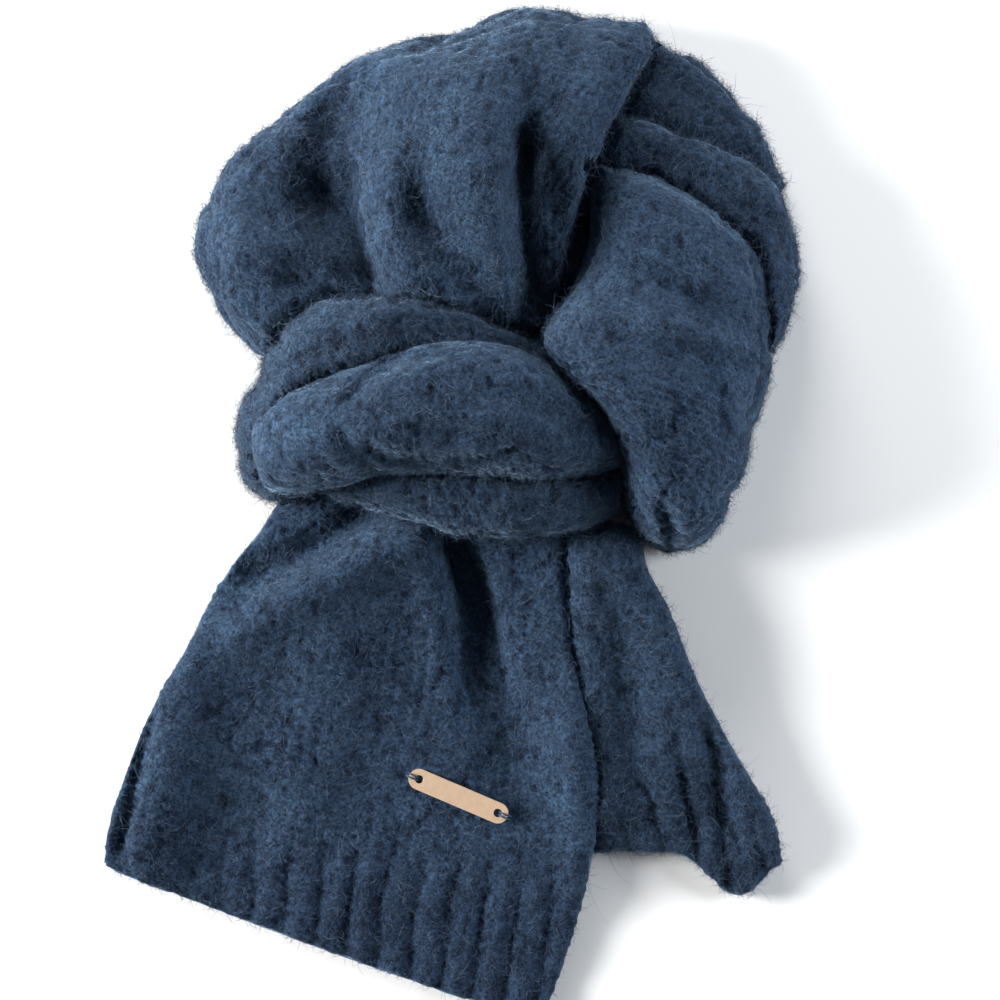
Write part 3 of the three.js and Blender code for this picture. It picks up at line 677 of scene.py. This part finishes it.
def make_stretch(name, stretch, fine, seed, hairs):
    """Builds a folded stretch from its surface.

    The relief is laid along the normals, and fades out where the stretch meets the table. fine
    counts the inner side's cells along and across, and the outer side has COARSE times as many.
    """
    n, m = fine
    u, s = np.linspace(0, 1, n * COARSE + 1), np.linspace(0, 1, m * COARSE + 1)
    base = lie_under(fold_surface(stretch, u, s, 0), GROOVE_SINK)
    normal = grid_normals(base)
    lifted = smooth(base[..., 2], RELIEF_FROM, RELIEF_FULL)[..., None]
    relief, painted_shade = knit_relief(base, seed)
    relief = relief + side_relief(stretch, base, normal, u)
    outer = base + normal * (relief[..., None] * lifted)
    outer[..., 2] = np.maximum(outer[..., 2], TABLE_GAP)
    inner = fold_surface(stretch, u[::COARSE], s[::COARSE], CLOTH)
    highest = base[::COARSE, ::COARSE, 2] - CLOTH * WALL_LEAST
    highest = np.maximum(highest, CLOTH * INNER_LOWEST)
    inner[..., 2] = np.minimum(inner[..., 2], highest)
    finish_stretch(name, outer, inner, painted_shade, seed, hairs)


LOOP_RIGHT = {
    "length": 210, "cap_start": 0.06, "edge_start": True, "cap_end": 0.12,
    "rows": table(SECTION, [
        (67, 166, 153, 118, 52, 0.42, 14, 26, 12),
        (70, 146, 158.5, 97, 61, 0.42, 14, 16, 8),
        (68, 124, 160.5, 80, 67, 0.42, 16, 8, 5),
        (59, 102, 160, 66, 72, 0.42, 24, 2, 2),
        (46, 79, 156.5, 53, 77, 0.42, 46, 0, 0),
        (54, 64, 152.5, 39, 79, 0.42, 58, 0, 0),
        (69, 51, 149, 26, 78, 0.42, 58, 0, 0),
        (79, 37, 146, 14, 75, 0.44, 50, 0, 0),
        (84, 22, 141, 3, 70, 0.46, 30, 0, 0),
        (86, 7, 136.5, -8, 63, 0.48, 12, 0, 0),
        (88, -8, 131, -18.5, 54, 0.5, 4, 0, 0),
        (93, -24, 124, -28, 40, 0.5, 0, 0, 0),
    ]),
    "folds": table(FOLD, [
        (121, 99, 141, 87, 2, 10, -5),
        (150, 116, 156, 74, 3, 5, -3),
        (126, 60, 133, 30, 2, 7, -4),
        (106, -8, 110, -24, 0, 4, -8),
        (92, 112, 116, 96, 3, 8, -5),
        (136, 122, 148, 102, 2, 8, -4),
        (100, 84, 142, 72, -3, 8, 3),
        (112, 74, 140, 66, 0, 6, -4),
        (60, 86, 96, 10, 5, 13, 4),
    ]),
    "sides": table(SIDE_FOLD, [
        (1, 0.2, 0.2, 7, -2.5), (1, 0.34, -0.2, 9, 1), (1, 0.47, 0.3, 6, -3),
        (1, 0.6, 0.1, 8, 0.6), (1, 0.74, -0.3, 6, -3), (1, 0.88, 0.1, 7, -1),
    ]),
    "grooves": [(21, 2.8, 4.2), (43, 2.8, 2.6)],
}
make_stretch("loop_right", LOOP_RIGHT, fine=(34, 26),
             seed=11, hairs=0.13)


# Middle roll of the wrap. It is the fullest of the three, drawn tight across the front of the
# knot, and tucked in behind the right lobe.
WRAP_MIDDLE = {
    "length": 195, "cap_start": 0.1,
    "rows": table(SECTION, [
        (-97, 38, -96, 12, 58, 0.5, 38, 26, 0),
        (-90, 43, -89, 4, 66, 0.5, 44, 26, 0),
        (-75, 53, -76, 2, 77, 0.5, 46, 24, 0),
        (-55, 62, -56, 5, 84, 0.5, 48, 26, 0),
        (-35, 69, -36, 10, 88, 0.5, 50, 32, 0),
        (-15, 75, -16, 12.5, 90, 0.5, 50, 34, 0),
        (5, 77, 5, 12, 90, 0.5, 50, 34, 0),
        (25, 75.5, 25, 10, 88, 0.5, 48, 32, 0),
        (43, 70, 45, 9.5, 83, 0.5, 46, 30, 0),
        (60, 58, 64, 11, 75, 0.5, 42, 30, 0),
        (75, 47, 80, 15, 65, 0.5, 38, 30, 0),
        (86, 37, 90, 18, 56, 0.5, 34, 30, 0),
    ]),
    "folds": table(FOLD, [
        (-36, 23, -10, 19, -2, 3.5, -6),
        (0, 18, 31, 25, -2, 3, -5),
        (-47, 48, -24, 68, 3, 4, -4),
        (-30, 64, 2, 68, 3, 4, -3),
        (-14, 34, 20, 30, 2, 4, -3),
        (-60, 30, 20, 38, 4, 10, 3),
        (-50, 28, -43, 20, 0, 4, -4),
        (22, 50, 62, 34, 4, 7, -3),
    ]),
    "sides": table(SIDE_FOLD, [
        (0, 0.12, 0.2, 5, -1.5), (1, 0.4, 0.2, 6, -1.5), (1, 0.66, -0.2, 7, 1.5),
    ]),
    "grooves": [(17, 2.2, 1.4)],
}
make_stretch("wrap_middle", WRAP_MIDDLE, fine=(32, 20),
             seed=12, hairs=0.1)


# Upper roll of the wrap. It comes from behind the right lobe, lies over the foot of the loop
# and turns down round the left end of the knot.
WRAP_UPPER = {
    "length": 240, "cap_end": 0.08,
    "rows": table(SECTION, [
        (58, 66, 48, 34, 50, 0.5, 34, 30, 0),
        (47, 74, 38, 38, 58, 0.5, 38, 32, 0),
        (30, 82.5, 24, 42, 66, 0.5, 42, 34, 0),
        (10, 91, 9, 43, 71, 0.5, 45, 36, 0),
        (-10, 97, -5, 43, 73, 0.5, 45, 36, 0),
        (-30, 98.5, -18, 41, 73, 0.5, 44, 36, 0),
        (-50, 97.5, -30, 38, 72, 0.56, 40, 36, 0),
        (-68, 93, -39, 35, 70, 0.6, 34, 34, 0),
        (-82, 85, -46, 32, 67, 0.6, 20, 32, 0),
        (-90, 74, -51, 30, 64, 0.54, 6, 30, 0),
        (-94, 61, -54, 27, 61, 0.44, 0, 30, 0),
        (-101, 49, -56, 24, 58, 0.42, 0, 28, 0),
        (-106, 36, -58, 21, 55, 0.4, 0, 26, 0),
        (-106, 22, -58, 17, 51, 0.4, 0, 24, 0),
        (-102, 8, -57, 12, 46, 0.4, 0, 22, 0),
        (-95, -5, -54, 6, 38, 0.4, 0, 20, 0),
    ]),
    "folds": table(FOLD, [
        (-66, 72, -24, 92, 0, 13, 5),
        (-84, 62, 10, 82, 6, 5, -3),
        (-100, 20, -92, 52, 3, 5, -3),
    ]),
    "sides": table(SIDE_FOLD, [
        (0, 0.2, 0.3, 6, -2), (0, 0.42, -0.2, 7, 2), (0, 0.58, 0.2, 5, -2.5),
        (0, 0.74, -0.3, 7, 2), (0, 0.86, 0.1, 5, -2),
    ]),
    "grooves": [(19, 2.8, 4)],
}
make_stretch("wrap_upper", WRAP_UPPER, fine=(40, 18),
             seed=13, hairs=0.1)


# Lower roll of the wrap. The knit is drawn together here. It closes the knot at the front and
# hangs over the roots of the tails.
WRAP_LOWER = {
    "length": 165, "cap_start": 0.12,
    "rows": table(SECTION, [
        (-76, 18, -75, 2, 40, 0.4, 18, 10, 0),
        (-64, 18, -63, 3, 44, 0.4, 22, 14, 0),
        (-50, 21, -52, -1, 50, 0.4, 24, 18, 0),
        (-33, 23, -35, -6, 54, 0.42, 24, 20, 0),
        (-15, 24, -17, -11, 57, 0.44, 24, 21, 0),
        (3, 24, 1, -15, 59, 0.46, 24, 21, 0),
        (20, 24, 20, -18, 60, 0.48, 24, 21, 0),
        (40, 24, 40, -19, 58, 0.48, 24, 20, 0),
        (58, 24, 60, -16, 54, 0.48, 22, 18, 0),
        (73, 24, 76, -11, 48, 0.46, 20, 14, 0),
        (85, 22, 90, -4, 40, 0.44, 16, 10, 0),
    ]),
    "folds": table(FOLD, [
        (-40, 2, 40, -4, -3, 5, -3),
    ]),
    "sides": table(SIDE_FOLD, [
        (1, 0.24, 0.2, 5, -1.5), (1, 0.5, -0.2, 8, 1.5), (1, 0.72, 0.2, 5, -1.5),
    ]),
    "grooves": [(15, 2.2, 1.2)],
}
make_stretch("wrap_lower", WRAP_LOWER, fine=(28, 14),
             seed=14, hairs=0.05)


# Left part of the neck loop. The full width of the knit fans out of the knot in long soft folds,
# rounds over the top and ends at the right in a free folded edge.
LOOP_LEFT = {
    "length": 330, "cap_end": 0.04, "edge_end": True,
    "rows": table(SECTION, [
        (-58, 60, -97, 73, 36, 0.45, 18, 0, 0),
        (-52, 66, -119, 100, 47, 0.5, 24, 0, 0),
        (-46, 68, -125, 130, 52, 0.5, 26, 0, 0),
        (-38, 70, -119.5, 152, 55, 0.48, 28, 0, 0),
        (-30, 72, -101, 175, 57, 0.46, 28, 0, 0),
        (-20, 74, -71, 202, 59, 0.44, 28, 0, 0),
        (-8, 76, -30, 225, 61, 0.42, 28, 0, 0),
        (6, 78, 10, 236, 62, 0.4, 28, 0, 0),
        (20, 80, 45, 244, 62, 0.4, 28, 0, 0),
        (32, 82, 74, 241, 61, 0.4, 28, 1, 3),
        (43, 84, 97, 235, 57, 0.42, 26, 6, 6),
        (52, 86, 104, 226, 50, 0.45, 20, 7, 9),
    ]),
    "folds": table(FOLD, [
        (-50, 214, -60, 192, 0, 15, -8),
        (-55, 188, -62, 146, 0, 20, -23),
        (-62, 148, -46, 116, 3, 13, -15),
        (-92, 182, -88, 148, 0, 14, -9),
        (-48, 160, -36, 98, -3, 5.5, -11),
        (-27, 160, -24, 112, -3, 11, 7),
        (12, 226, 12, 118, 3, 34, 21),
        (-98, 126, -64, 120, 3, 13, 9),
        (-78, 108, -56, 101, 2, 6, -8),
        (-8, 134, 16, 98, 0, 14, -15),
        (36, 204, 38, 176, 0, 8, -6),
        (38, 168, 44, 94, -4, 7.5, -30),
        (76, 224, 62, 152, -4, 9, 7),
        (52, 144, 47, 90, 0, 11, -14),
        (79, 184, 64, 104, -3, 4, -14),
    ]),
    "sides": table(SIDE_FOLD, [
        (1, 0.08, 0.5, 7, -4), (1, 0.17, -0.5, 9, 2.5), (1, 0.25, 0.6, 6, -5),
        (1, 0.36, -0.4, 12, 2.5), (1, 0.43, 0.9, 6, -4), (1, 0.51, -0.3, 10, 2.5),
        (1, 0.6, 0.6, 6, -5), (1, 0.7, -0.5, 11, 2.5), (1, 0.79, 0.4, 7, -4.5),
        (1, 0.9, -0.2, 8, 2),
    ]),
    "grooves": [(17, 3, 5), (35, 2.8, 3.2)],
}
make_stretch("loop_left", LOOP_LEFT, fine=(54, 34),
             seed=15, hairs=0.24)


# Middle part of the loop. It is a folded width of the knit that comes out between the two front
# lobes, with its fold edge to the back.
LOOP_MID = {
    "length": 180, "cap_end": 0.1,
    "rows": table(SECTION, [
        (52, 138, 66, 183, 40, 0.7, 12, 20, 0),
        (66, 140, 82, 188, 42, 0.7, 12, 20, 0),
        (82, 134, 98, 187, 43, 0.7, 12, 20, 0),
        (94, 126, 113, 182, 43, 0.7, 12, 20, 0),
        (104, 116, 128, 176, 42, 0.7, 12, 19, 0),
        (112, 106, 144, 167, 41, 0.7, 12, 16, 0),
        (118, 96, 160, 157, 40, 0.7, 10, 10, 0),
        (122, 88, 168.5, 145, 39, 0.68, 8, 3, 0),
        (124, 80, 172.5, 126, 38, 0.66, 6, 0, 0),
        (124, 72, 171.5, 104, 36, 0.66, 4, 0, 0),
        (122, 64, 167, 84, 32, 0.66, 2, 0, 0),
        (118, 56, 158, 66, 26, 0.66, 0, 0, 0),
    ]),
    "folds": table(FOLD, [
        (92, 170, 150, 140, 5, 7, -4),
        (160, 140, 164, 90, 3, 6, -3),
        (70, 182, 58, 118, 0, 9, -24),
        (126, 130, 158, 92, 4, 15, 9),
    ]),
    "sides": table(SIDE_FOLD, [
        (1, 0.3, 0.5, 6, -3.5), (1, 0.46, -0.3, 9, 2), (1, 0.62, 0.6, 6, -3.5), (1, 0.8, -0.3, 8, 1),
    ]),
    "grooves": [(18, 2.8, 4)],
}
make_stretch("loop_mid", LOOP_MID, fine=(30, 16),
             seed=16, hairs=0.06)


# Back part of the loop. It is the lowest and darkest folded width, lies on the table and runs in
# under the others.
LOOP_BACK = {
    "length": 130, "cap_end": 0.06,
    "rows": table(SECTION, [
        (50, 160, 86, 231, 22, 0.6, 8, 0, 0),
        (62, 160, 107, 227, 25, 0.6, 8, 0, 0),
        (72, 155, 124.5, 216.5, 27, 0.6, 8, 0, 0),
        (82, 148, 140, 203, 28, 0.6, 8, 0, 0),
        (92, 140, 151.5, 187.5, 28, 0.6, 8, 0, 0),
        (102, 130, 161.5, 171, 26, 0.6, 8, 0, 0),
        (110, 118, 169, 153, 22, 0.6, 8, 0, 0),
    ]),
    "folds": table(FOLD, [(110, 205, 150, 165, 4, 8, -3)]),
    "sides": table(SIDE_FOLD, [
        (1, 0.16, 0.5, 7, -3.5), (1, 0.34, -0.3, 9, 2), (1, 0.52, 0.6, 6, -3.5), (1, 0.7, -0.3, 9, 2),
        (1, 0.86, 0.1, 6, -2),
    ]),
    "grooves": [(12, 2.4, 3.4)],
}
make_stretch("loop_back", LOOP_BACK, fine=(22, 14),
             seed=17, hairs=0.04)


# Front tail. It is the open width of the scarf, which fans out from under the knot to a ribbed
# hem, with a dark hollow at its root and a rolled left edge.

# A row of a tail has the places of its two edges, and the heights at its left, middle and right.
SHEET = ("ax", "ay", "bx", "by", "left", "middle", "right")
EDGE_ROUND = 7.0
EDGE_LIP = 0.45
RIB_PITCH = 16.6
RIB_RISE = 4.0
RIB_LENGTH = 62.0
RIB_POWER = 0.7
RIB_LEVEL = 0.5
RIB_WAVER = 2.0
RIB_WAVER_GRAIN = 34
RIB_FIRM = 0.45
RIB_FIRM_GAIN = 0.4
RIB_FIRM_PATCHES = 0.3
RIB_PATCH_GRAIN = 26
PLEAT_START = 0.72
HEM_BOW_START = 0.8
HEM_SHADE = 0.45
TAIL_SINK = 2.0
TAIL_RELIEF = 0.85
TAIL_LOWEST = 0.8


def sheet_surface(tail, u, s, side):
    """Points of a lying tail: heights, folds and hem ribs on top, rounded at its edges.

    The height across is a parabola through its left, middle and right values. A rib is a power
    of a cosine across the hem. The inner side lies one cloth lower, and never below the table.
    """
    get = {name: column(tail["rows"], name, u)[:, None] for name in SHEET}
    s, u = s[None, :], u[:, None]
    width = np.hypot(get["bx"] - get["ax"], get["by"] - get["ay"])
    drop = 0
    if "pleat" in tail:
        at, wide, deep = tail["pleat"]
        drop = deep * smooth(u, PLEAT_START, 1) * np.exp(-((s - at) / wide) ** 2)
    x = get["ax"] + (get["bx"] - get["ax"]) * s
    drop = drop + tail.get("hem_bow", 0) * 4 * s * (1 - s) * smooth(u, HEM_BOW_START, 1)
    y = get["ay"] + (get["by"] - get["ay"]) * s - drop
    straight = get["left"] * (1 - s) + get["right"] * s
    top = straight + (get["middle"] - (get["left"] + get["right"]) / 2) * 4 * s * (1 - s)
    top = np.maximum(top + fold_rise(tail["folds"], x, y), CLOTH)
    if side == "inner":
        return np.stack([x, y, np.maximum(top - CLOTH, 0)], axis=2)
    to_hem = (1 - u) * tail["length"]
    fade = 1 - smooth(to_hem, RIB_LENGTH * 0.55, RIB_LENGTH)
    waver = RIB_WAVER * cloudy(x, y, 0 * x, RIB_WAVER_GRAIN, 71)
    rib = np.abs(np.cos(np.pi * (s * width + waver) / RIB_PITCH)) ** RIB_POWER - RIB_LEVEL
    patches = RIB_FIRM_PATCHES * cloudy(x, y, 0 * x, RIB_PATCH_GRAIN, 72)
    firm = RIB_FIRM + RIB_FIRM_GAIN * smooth(s, 0.1, 0.6) + patches
    top = top + RIB_RISE * fade * rib * firm
    edge = np.minimum(np.minimum(s, 1 - s) * width, to_hem)
    near = np.clip(edge / EDGE_ROUND, 0, 1)
    low = np.maximum(top - CLOTH * (1 - EDGE_LIP), 1)
    top = low + (top - low) * np.sqrt(1 - (1 - near) ** 2)
    return np.stack([x, y, top], axis=2)


def make_tail(name, tail, fine, seed, hairs):
    """Builds a tail from its surface, with painted shade that darkens its hem."""
    n, m = fine
    u, s = np.linspace(0, 1, n * COARSE + 1), np.linspace(0, 1, m * COARSE + 1)
    base = lie_under(sheet_surface(tail, u, s, "outer"), TAIL_SINK)
    normal = grid_normals(base)
    relief, painted_shade = knit_relief(base, seed)
    to_hem = (1 - u[:, None]) * tail["length"]
    # Painted shade over the ribbed hem, fading out away from it.
    painted_shade = painted_shade + HEM_SHADE * (1 - smooth(to_hem, RIB_LENGTH * 0.5, RIB_LENGTH * 1.2))
    outer = base + normal * relief[..., None] * TAIL_RELIEF
    outer[..., 2] = np.maximum(outer[..., 2], TAIL_LOWEST)
    inner = sheet_surface(tail, u[::COARSE], s[::COARSE], "inner")
    highest = np.maximum(base[::COARSE, ::COARSE, 2] - CLOTH, 0)
    inner[..., 2] = np.minimum(inner[..., 2], highest)
    finish_stretch(name, outer, inner, painted_shade, seed, hairs)


TAIL_FRONT = {
    "length": 255, "hem_bow": 3.0,
    "rows": table(SHEET, [
        (-78, 8, 52, 4, 14, 20, 20),
        (-88, -5, 56, -14, 16, 24, 20),
        (-95, -16, 58, -30, 15, 24, 19),
        (-109, -33, 58, -50, 12, 20, 18),
        (-121.5, -54, 60, -70, 10, 16, 17),
        (-132.5, -76, 64, -91, 9, 13, 17),
        (-143, -94, 69, -113, 9, 11, 16),
        (-150, -108, 73, -133, 9, 10, 16),
        (-158, -128, 74, -155, 9, 9, 15),
        (-165, -148, 71, -178, 8, 8, 13),
        (-170, -166, 65, -204, 8, 8, 10),
        (-172, -178, 56.5, -232, 8, 8, 8),
        (-171, -183, 45.5, -261, 8, 8, 8),
    ]),
    "folds": table(FOLD, [
        (-44, -8, -94, -35, 3, 9, -11),
        (-26, -24, -100, -64, -4, 12, 9),
        (3, -24, 16, -86, 3, 8, -28),
        (-13, -24, -5, -74, 0, 9, 4),
        (18, -84, 30, -132, 3, 16, -7),
        (54, -32, 62, -118, 2, 13, 4),
        (-148, -110, -163, -170, -1, 3.2, -5),
        (-155, -106, -172, -168, 0, 6, 5),
        (-84, -110, -112, -176, 0, 18, -5),
        (-134, -98, -150, -160, 0, 18, 10),
        (-60, -66, -84, -116, 0, 28, 8),
        (60, -120, 62, -190, 3, 8, 4),
    ]),
}
make_tail("tail_front", TAIL_FRONT, fine=(44, 40),
          seed=18, hairs=0.2)


# Back tail. It comes out from under the right lobe, narrower because it is folded under the
# front one, and its ribbed hem ends in a lower pleat at the right.
TAIL_BACK = {
    "length": 170, "pleat": (0.79, 0.19, 23.5),
    "rows": table(SHEET, [
        (52, -4, 96, -14, 10, 22, 12),
        (50, -28, 98, -33, 8, 24, 12),
        (47, -60, 109.5, -56, 6, 18, 11),
        (47, -90, 120, -83, 6, 14, 10),
        (50, -118, 134.5, -112, 6, 12, 9),
        (55, -143, 149.5, -138, 6, 11, 9),
        (60, -160, 161.5, -157, 6, 10, 9),
        (65, -176, 165, -173, 6, 9, 9),
    ]),
    "folds": table(FOLD, [
        (92, -34, 110, -120, 4, 18, 11),
        (112, -60, 150, -160, 0, 13, 6),
        (62, -40, 74, -150, 2, 13, 8),
        (128, -118, 143, -168, 0, 4.5, -4),
        (112, -120, 124, -172, 0, 4, -3),
        (136, -114, 155, -166, 0, 6, 4),
    ]),
}
make_tail("tail_back", TAIL_BACK, fine=(30, 18),
          seed=19, hairs=0.08)


# Hidden layers. The rest of the loop and the knot, under all that shows. It is one rounded heap,
# with soft steps round its sides where the knit is folded, and its lowest layer lies level.
LAYER_STEP = 10.0
STEP_DEPTH = 1.6
UNDERSIDE = 1.6
LOWEST_LAYER = 4.6
HEAP_GRID = (97, 96)
UNDER_COLUMNS = 61
HIDDEN_LAYERS = {
    "length": 240,
    "rows": table(SECTION, [
        (-10, 200, 40, 202, 12, 0.5, 0, 0, 0),
        (-50, 184, 56, 188, 24, 0.5, 0, 0, 0),
        (-80, 164, 66, 162, 28, 0.5, 0, 0, 0),
        (-96, 138, 84, 134, 28, 0.5, 0, 0, 0),
        (-96, 110, 106, 106, 28, 0.5, 0, 0, 0),
        (-84, 84, 116, 80, 30, 0.5, 0, 0, 0),
        (-72, 62, 120, 54, 34, 0.5, 0, 0, 0),
        (-68, 40, 118, 30, 35, 0.5, 0, 0, 0),
        (-58, 20, 110, 8, 30, 0.5, 0, 0, 0),
        (-40, 12, 96, 0, 16, 0.5, 0, 0, 0),
    ]),
    "folds": table(FOLD, [(-40, 120, 60, 126, 6, 12, 3), (20, 60, 100, 44, 4, 12, 3)]),
}


def turned_under(top, height):
    """The heap's surface with its lowest layer: straight and level from one edge to the other."""
    back = np.linspace(0.02, 0.97, UNDER_COLUMNS)[None, :, None]
    under = top[:, -1:] + (top[:, :1] - top[:, -1:]) * back
    under[..., 2] = height
    return np.concatenate([top, under], axis=1)


def make_hidden():
    """Builds the heap and its lowest layer: a surface stepped by a sine of the height."""
    u, s = (np.linspace(0, 1, count) for count in HEAP_GRID)
    base = turned_under(fold_surface(HIDDEN_LAYERS, u, s, 0), UNDERSIDE)
    normal = grid_normals(base)
    steps = STEP_DEPTH * np.abs(np.sin(np.pi * base[..., 2] / LAYER_STEP)) - STEP_DEPTH
    relief, painted_shade = knit_relief(base, 20)
    on_top = np.arange(base.shape[1]) < len(s)
    share = np.where(on_top, smooth(base[..., 2], 1.0, 6.0), 0.5)
    outer = base + normal * ((relief - 1.0 + steps) * share)[..., None]
    outer[..., 2] = np.maximum(outer[..., 2], TABLE_GAP)
    inner = turned_under(fold_surface(HIDDEN_LAYERS, u, s, CLOTH), LOWEST_LAYER)
    inner = inner[::COARSE, ::COARSE]
    lowered = np.minimum(inner[..., 2], np.maximum(outer[::COARSE, ::COARSE, 2] - 3, 0.01))
    inner[..., 2] = np.where(on_top[::COARSE], lowered, inner[..., 2])
    piece = wall_mesh("hidden_layers_cloth", outer, inner, painted_shade)
    piece.data.materials.append(KNIT)
    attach(piece, "root")
    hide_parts("hidden_layers")


make_hidden()


# Label plate. A thin strip of pale gold metal with round ends and softly broken edges, sewn on
# with dark thread through its two holes. It is bare.
PLATE_HOLE_AT = 21.3
PLATE_BREAK = 0.4
GOLD_TONES = [(0.0, (0.62, 0.42, 0.27)), (1.0, (0.78, 0.58, 0.42))]
THREAD_RADIUS = 0.42
THREAD_START = 0.4
THREAD_LENGTH = 6.0
THREAD_SINK = 1.4
THREAD_RISE = 3.2
THREAD_POINTS = 11
THREAD_SIDES = 8
STRAND_APART = 0.65


def plate_metal():
    """Material of the plate: pale gold, satin, with a faint unevenness."""
    material, shader = new_material("plate_metal", {"Metallic": 0.5, "Roughness": 0.4})
    tree = material.node_tree
    colour = tones(tree, noise(tree, 350, 4), GOLD_TONES)
    tree.links.new(colour, shader.inputs["Base Color"])
    return material


def make_plate():
    """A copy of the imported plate, merged, with its edges broken by a bevel. Returns its points."""
    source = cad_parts["label_plate"]
    mesh = source.data.copy()
    mesh.transform(source.matrix_world)
    mesh.materials.clear()
    work = bmesh.new()
    work.from_mesh(mesh)
    bmesh.ops.remove_doubles(work, verts=work.verts, dist=1e-5)
    bmesh.ops.dissolve_limit(work, angle_limit=0.05, verts=work.verts, edges=work.edges)
    bmesh.ops.recalc_face_normals(work, faces=work.faces)
    work.to_mesh(mesh)
    work.free()
    mesh.set_sharp_from_angle(angle=0.7)
    mesh.materials.append(plate_metal())
    piece = add_piece("plate", mesh)
    bevel = piece.modifiers.new("broken_edges", "BEVEL")
    bevel.width = PLATE_BREAK / 1000
    bevel.segments = 3
    bevel.limit_method = "ANGLE"
    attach(piece, "root")
    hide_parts("label_plate")
    return np.array([vertex.co for vertex in mesh.vertices]) * 1000


def thread_rings(path):
    """Ring of points round each point of a path: path + radius * (side cos a + up sin a)."""
    tangent = np.gradient(path, axis=0)
    tangent /= np.linalg.norm(tangent, axis=1, keepdims=True)
    side = np.cross(tangent, [0.3, -0.2, 0.9])
    side /= np.linalg.norm(side, axis=1, keepdims=True)
    up = np.cross(side, tangent)
    angle = np.linspace(0, 2 * np.pi, THREAD_SIDES, endpoint=False)[None, :, None]
    around_path = side[:, None] * np.cos(angle) + up[:, None] * np.sin(angle)
    return path[:, None] + THREAD_RADIUS * around_path


def sew_plate(corners):
    """Two strands of thread from each hole over the end of the plate, and down into the knit.

    Each rises from the hole and falls past the end as a power of a sine, and they part a little.
    """
    centre = (corners.max(axis=0) + corners.min(axis=0)) / 2
    normal = np.linalg.svd(corners - corners.mean(axis=0))[2][2]
    normal = normal * np.sign(normal[2])
    long = np.array([np.cos(PLATE_TILT), np.sin(PLATE_TILT), 0])
    long -= normal * (long @ normal)
    long /= np.linalg.norm(long)
    wide = np.cross(normal, long)
    points, faces = [], []
    for end in (-1, 1):
        for strand in (-STRAND_APART, STRAND_APART):
            t = np.linspace(0, 1, THREAD_POINTS)
            along = end * (PLATE_HOLE_AT + THREAD_START + THREAD_LENGTH * t)
            arch = np.sin(np.pi * np.clip(t * 1.1 - 0.05, 0, 1)) ** 0.6
            rise = THREAD_RISE * arch - THREAD_SINK
            path = (centre + along[:, None] * long + rise[:, None] * normal
                    + strand * (1 + 0.4 * t[:, None]) * wide)
            rings = thread_rings(path)
            index = len(points) + np.arange(rings.shape[0] * THREAD_SIDES)
            index = index.reshape(-1, THREAD_SIDES)
            points.extend(rings.reshape(-1, 3))
            turned = np.roll(index, -1, axis=1)
            walls = np.stack([index[:-1], turned[:-1], turned[1:], index[1:]], axis=-1)
            faces += walls.reshape(-1, 4).tolist()
            faces += [index[0][::-1].tolist(), index[-1].tolist()]
    mesh = bpy.data.meshes.new("plate_thread")
    mesh.from_pydata((np.array(points) / 1000).tolist(), [], faces)
    outwards(mesh)
    mesh.shade_smooth()
    mesh.materials.append(KNIT)
    piece = add_piece("plate_thread", mesh)
    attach(piece, "root")


sew_plate(make_plate())


# Table, light and camera. The scarf lies on a plain pale surface in soft light from the upper
# left, and the camera looks straight down on it.
TABLE_HALF = 4
TABLE_LEVEL = -0.0004
CAMERA_HEIGHT = 2.2
SENSOR_WIDE = 36
VIEW_WIDE = 0.5
VIEW_CENTRE = (np.array([25.0, 0.0]) - PLAN_CENTRE[:2]) / 1000
SCARF_MIDDLE = (0.0, 0.0, 0.03)

corners = [(x * TABLE_HALF, y * TABLE_HALF, TABLE_LEVEL)
           for x, y in [(-1, -1), (1, -1), (1, 1), (-1, 1)]]
table_mesh = bpy.data.meshes.new("table_top")
table_mesh.from_pydata(corners, [], [(0, 1, 2, 3)])
table_top = add_piece("table_top", table_mesh)
pale_table = new_material("pale_table", {"Base Color": (0.86, 0.86, 0.86, 1), "Roughness": 0.9})
table_mesh.materials.append(pale_table[0])


def soft_light(name, place, size, power, colour):
    """A large area light that points at the scarf."""
    data = bpy.data.lights.new(name, "AREA")
    data.shape = "DISK"
    data.size = size
    data.energy = power
    data.color = colour
    lamp = add_piece(name, data)
    lamp.location = place
    direction = Vector(SCARF_MIDDLE) - Vector(place)
    lamp.rotation_mode = "QUATERNION"
    lamp.rotation_quaternion = direction.to_track_quat("-Z", "Y")


soft_light("window", (-2.1, 0.17, 0.8), 1.0, 147, (1.0, 0.99, 0.97))
soft_light("top_window", (-0.25, 1.5, 0.6), 0.8, 24, (1.0, 0.99, 0.97))
soft_light("right_fill", (1.5, 0.15, 0.6), 0.9, 30, (0.9, 0.95, 1.0))
world = bpy.data.worlds.new("studio")
world.use_nodes = True
set_inputs(world.node_tree.nodes["Background"], {"Color": (0.9, 0.94, 1.0, 1), "Strength": 0.12})
bpy.context.scene.world = world
bpy.context.scene.view_settings.view_transform = "Standard"

camera_data = bpy.data.cameras.new("camera")
camera = add_piece("camera", camera_data)
camera_data.sensor_width = SENSOR_WIDE
camera_data.lens = SENSOR_WIDE * CAMERA_HEIGHT / VIEW_WIDE
camera.location = (*VIEW_CENTRE, CAMERA_HEIGHT)
bpy.context.scene.camera = camera
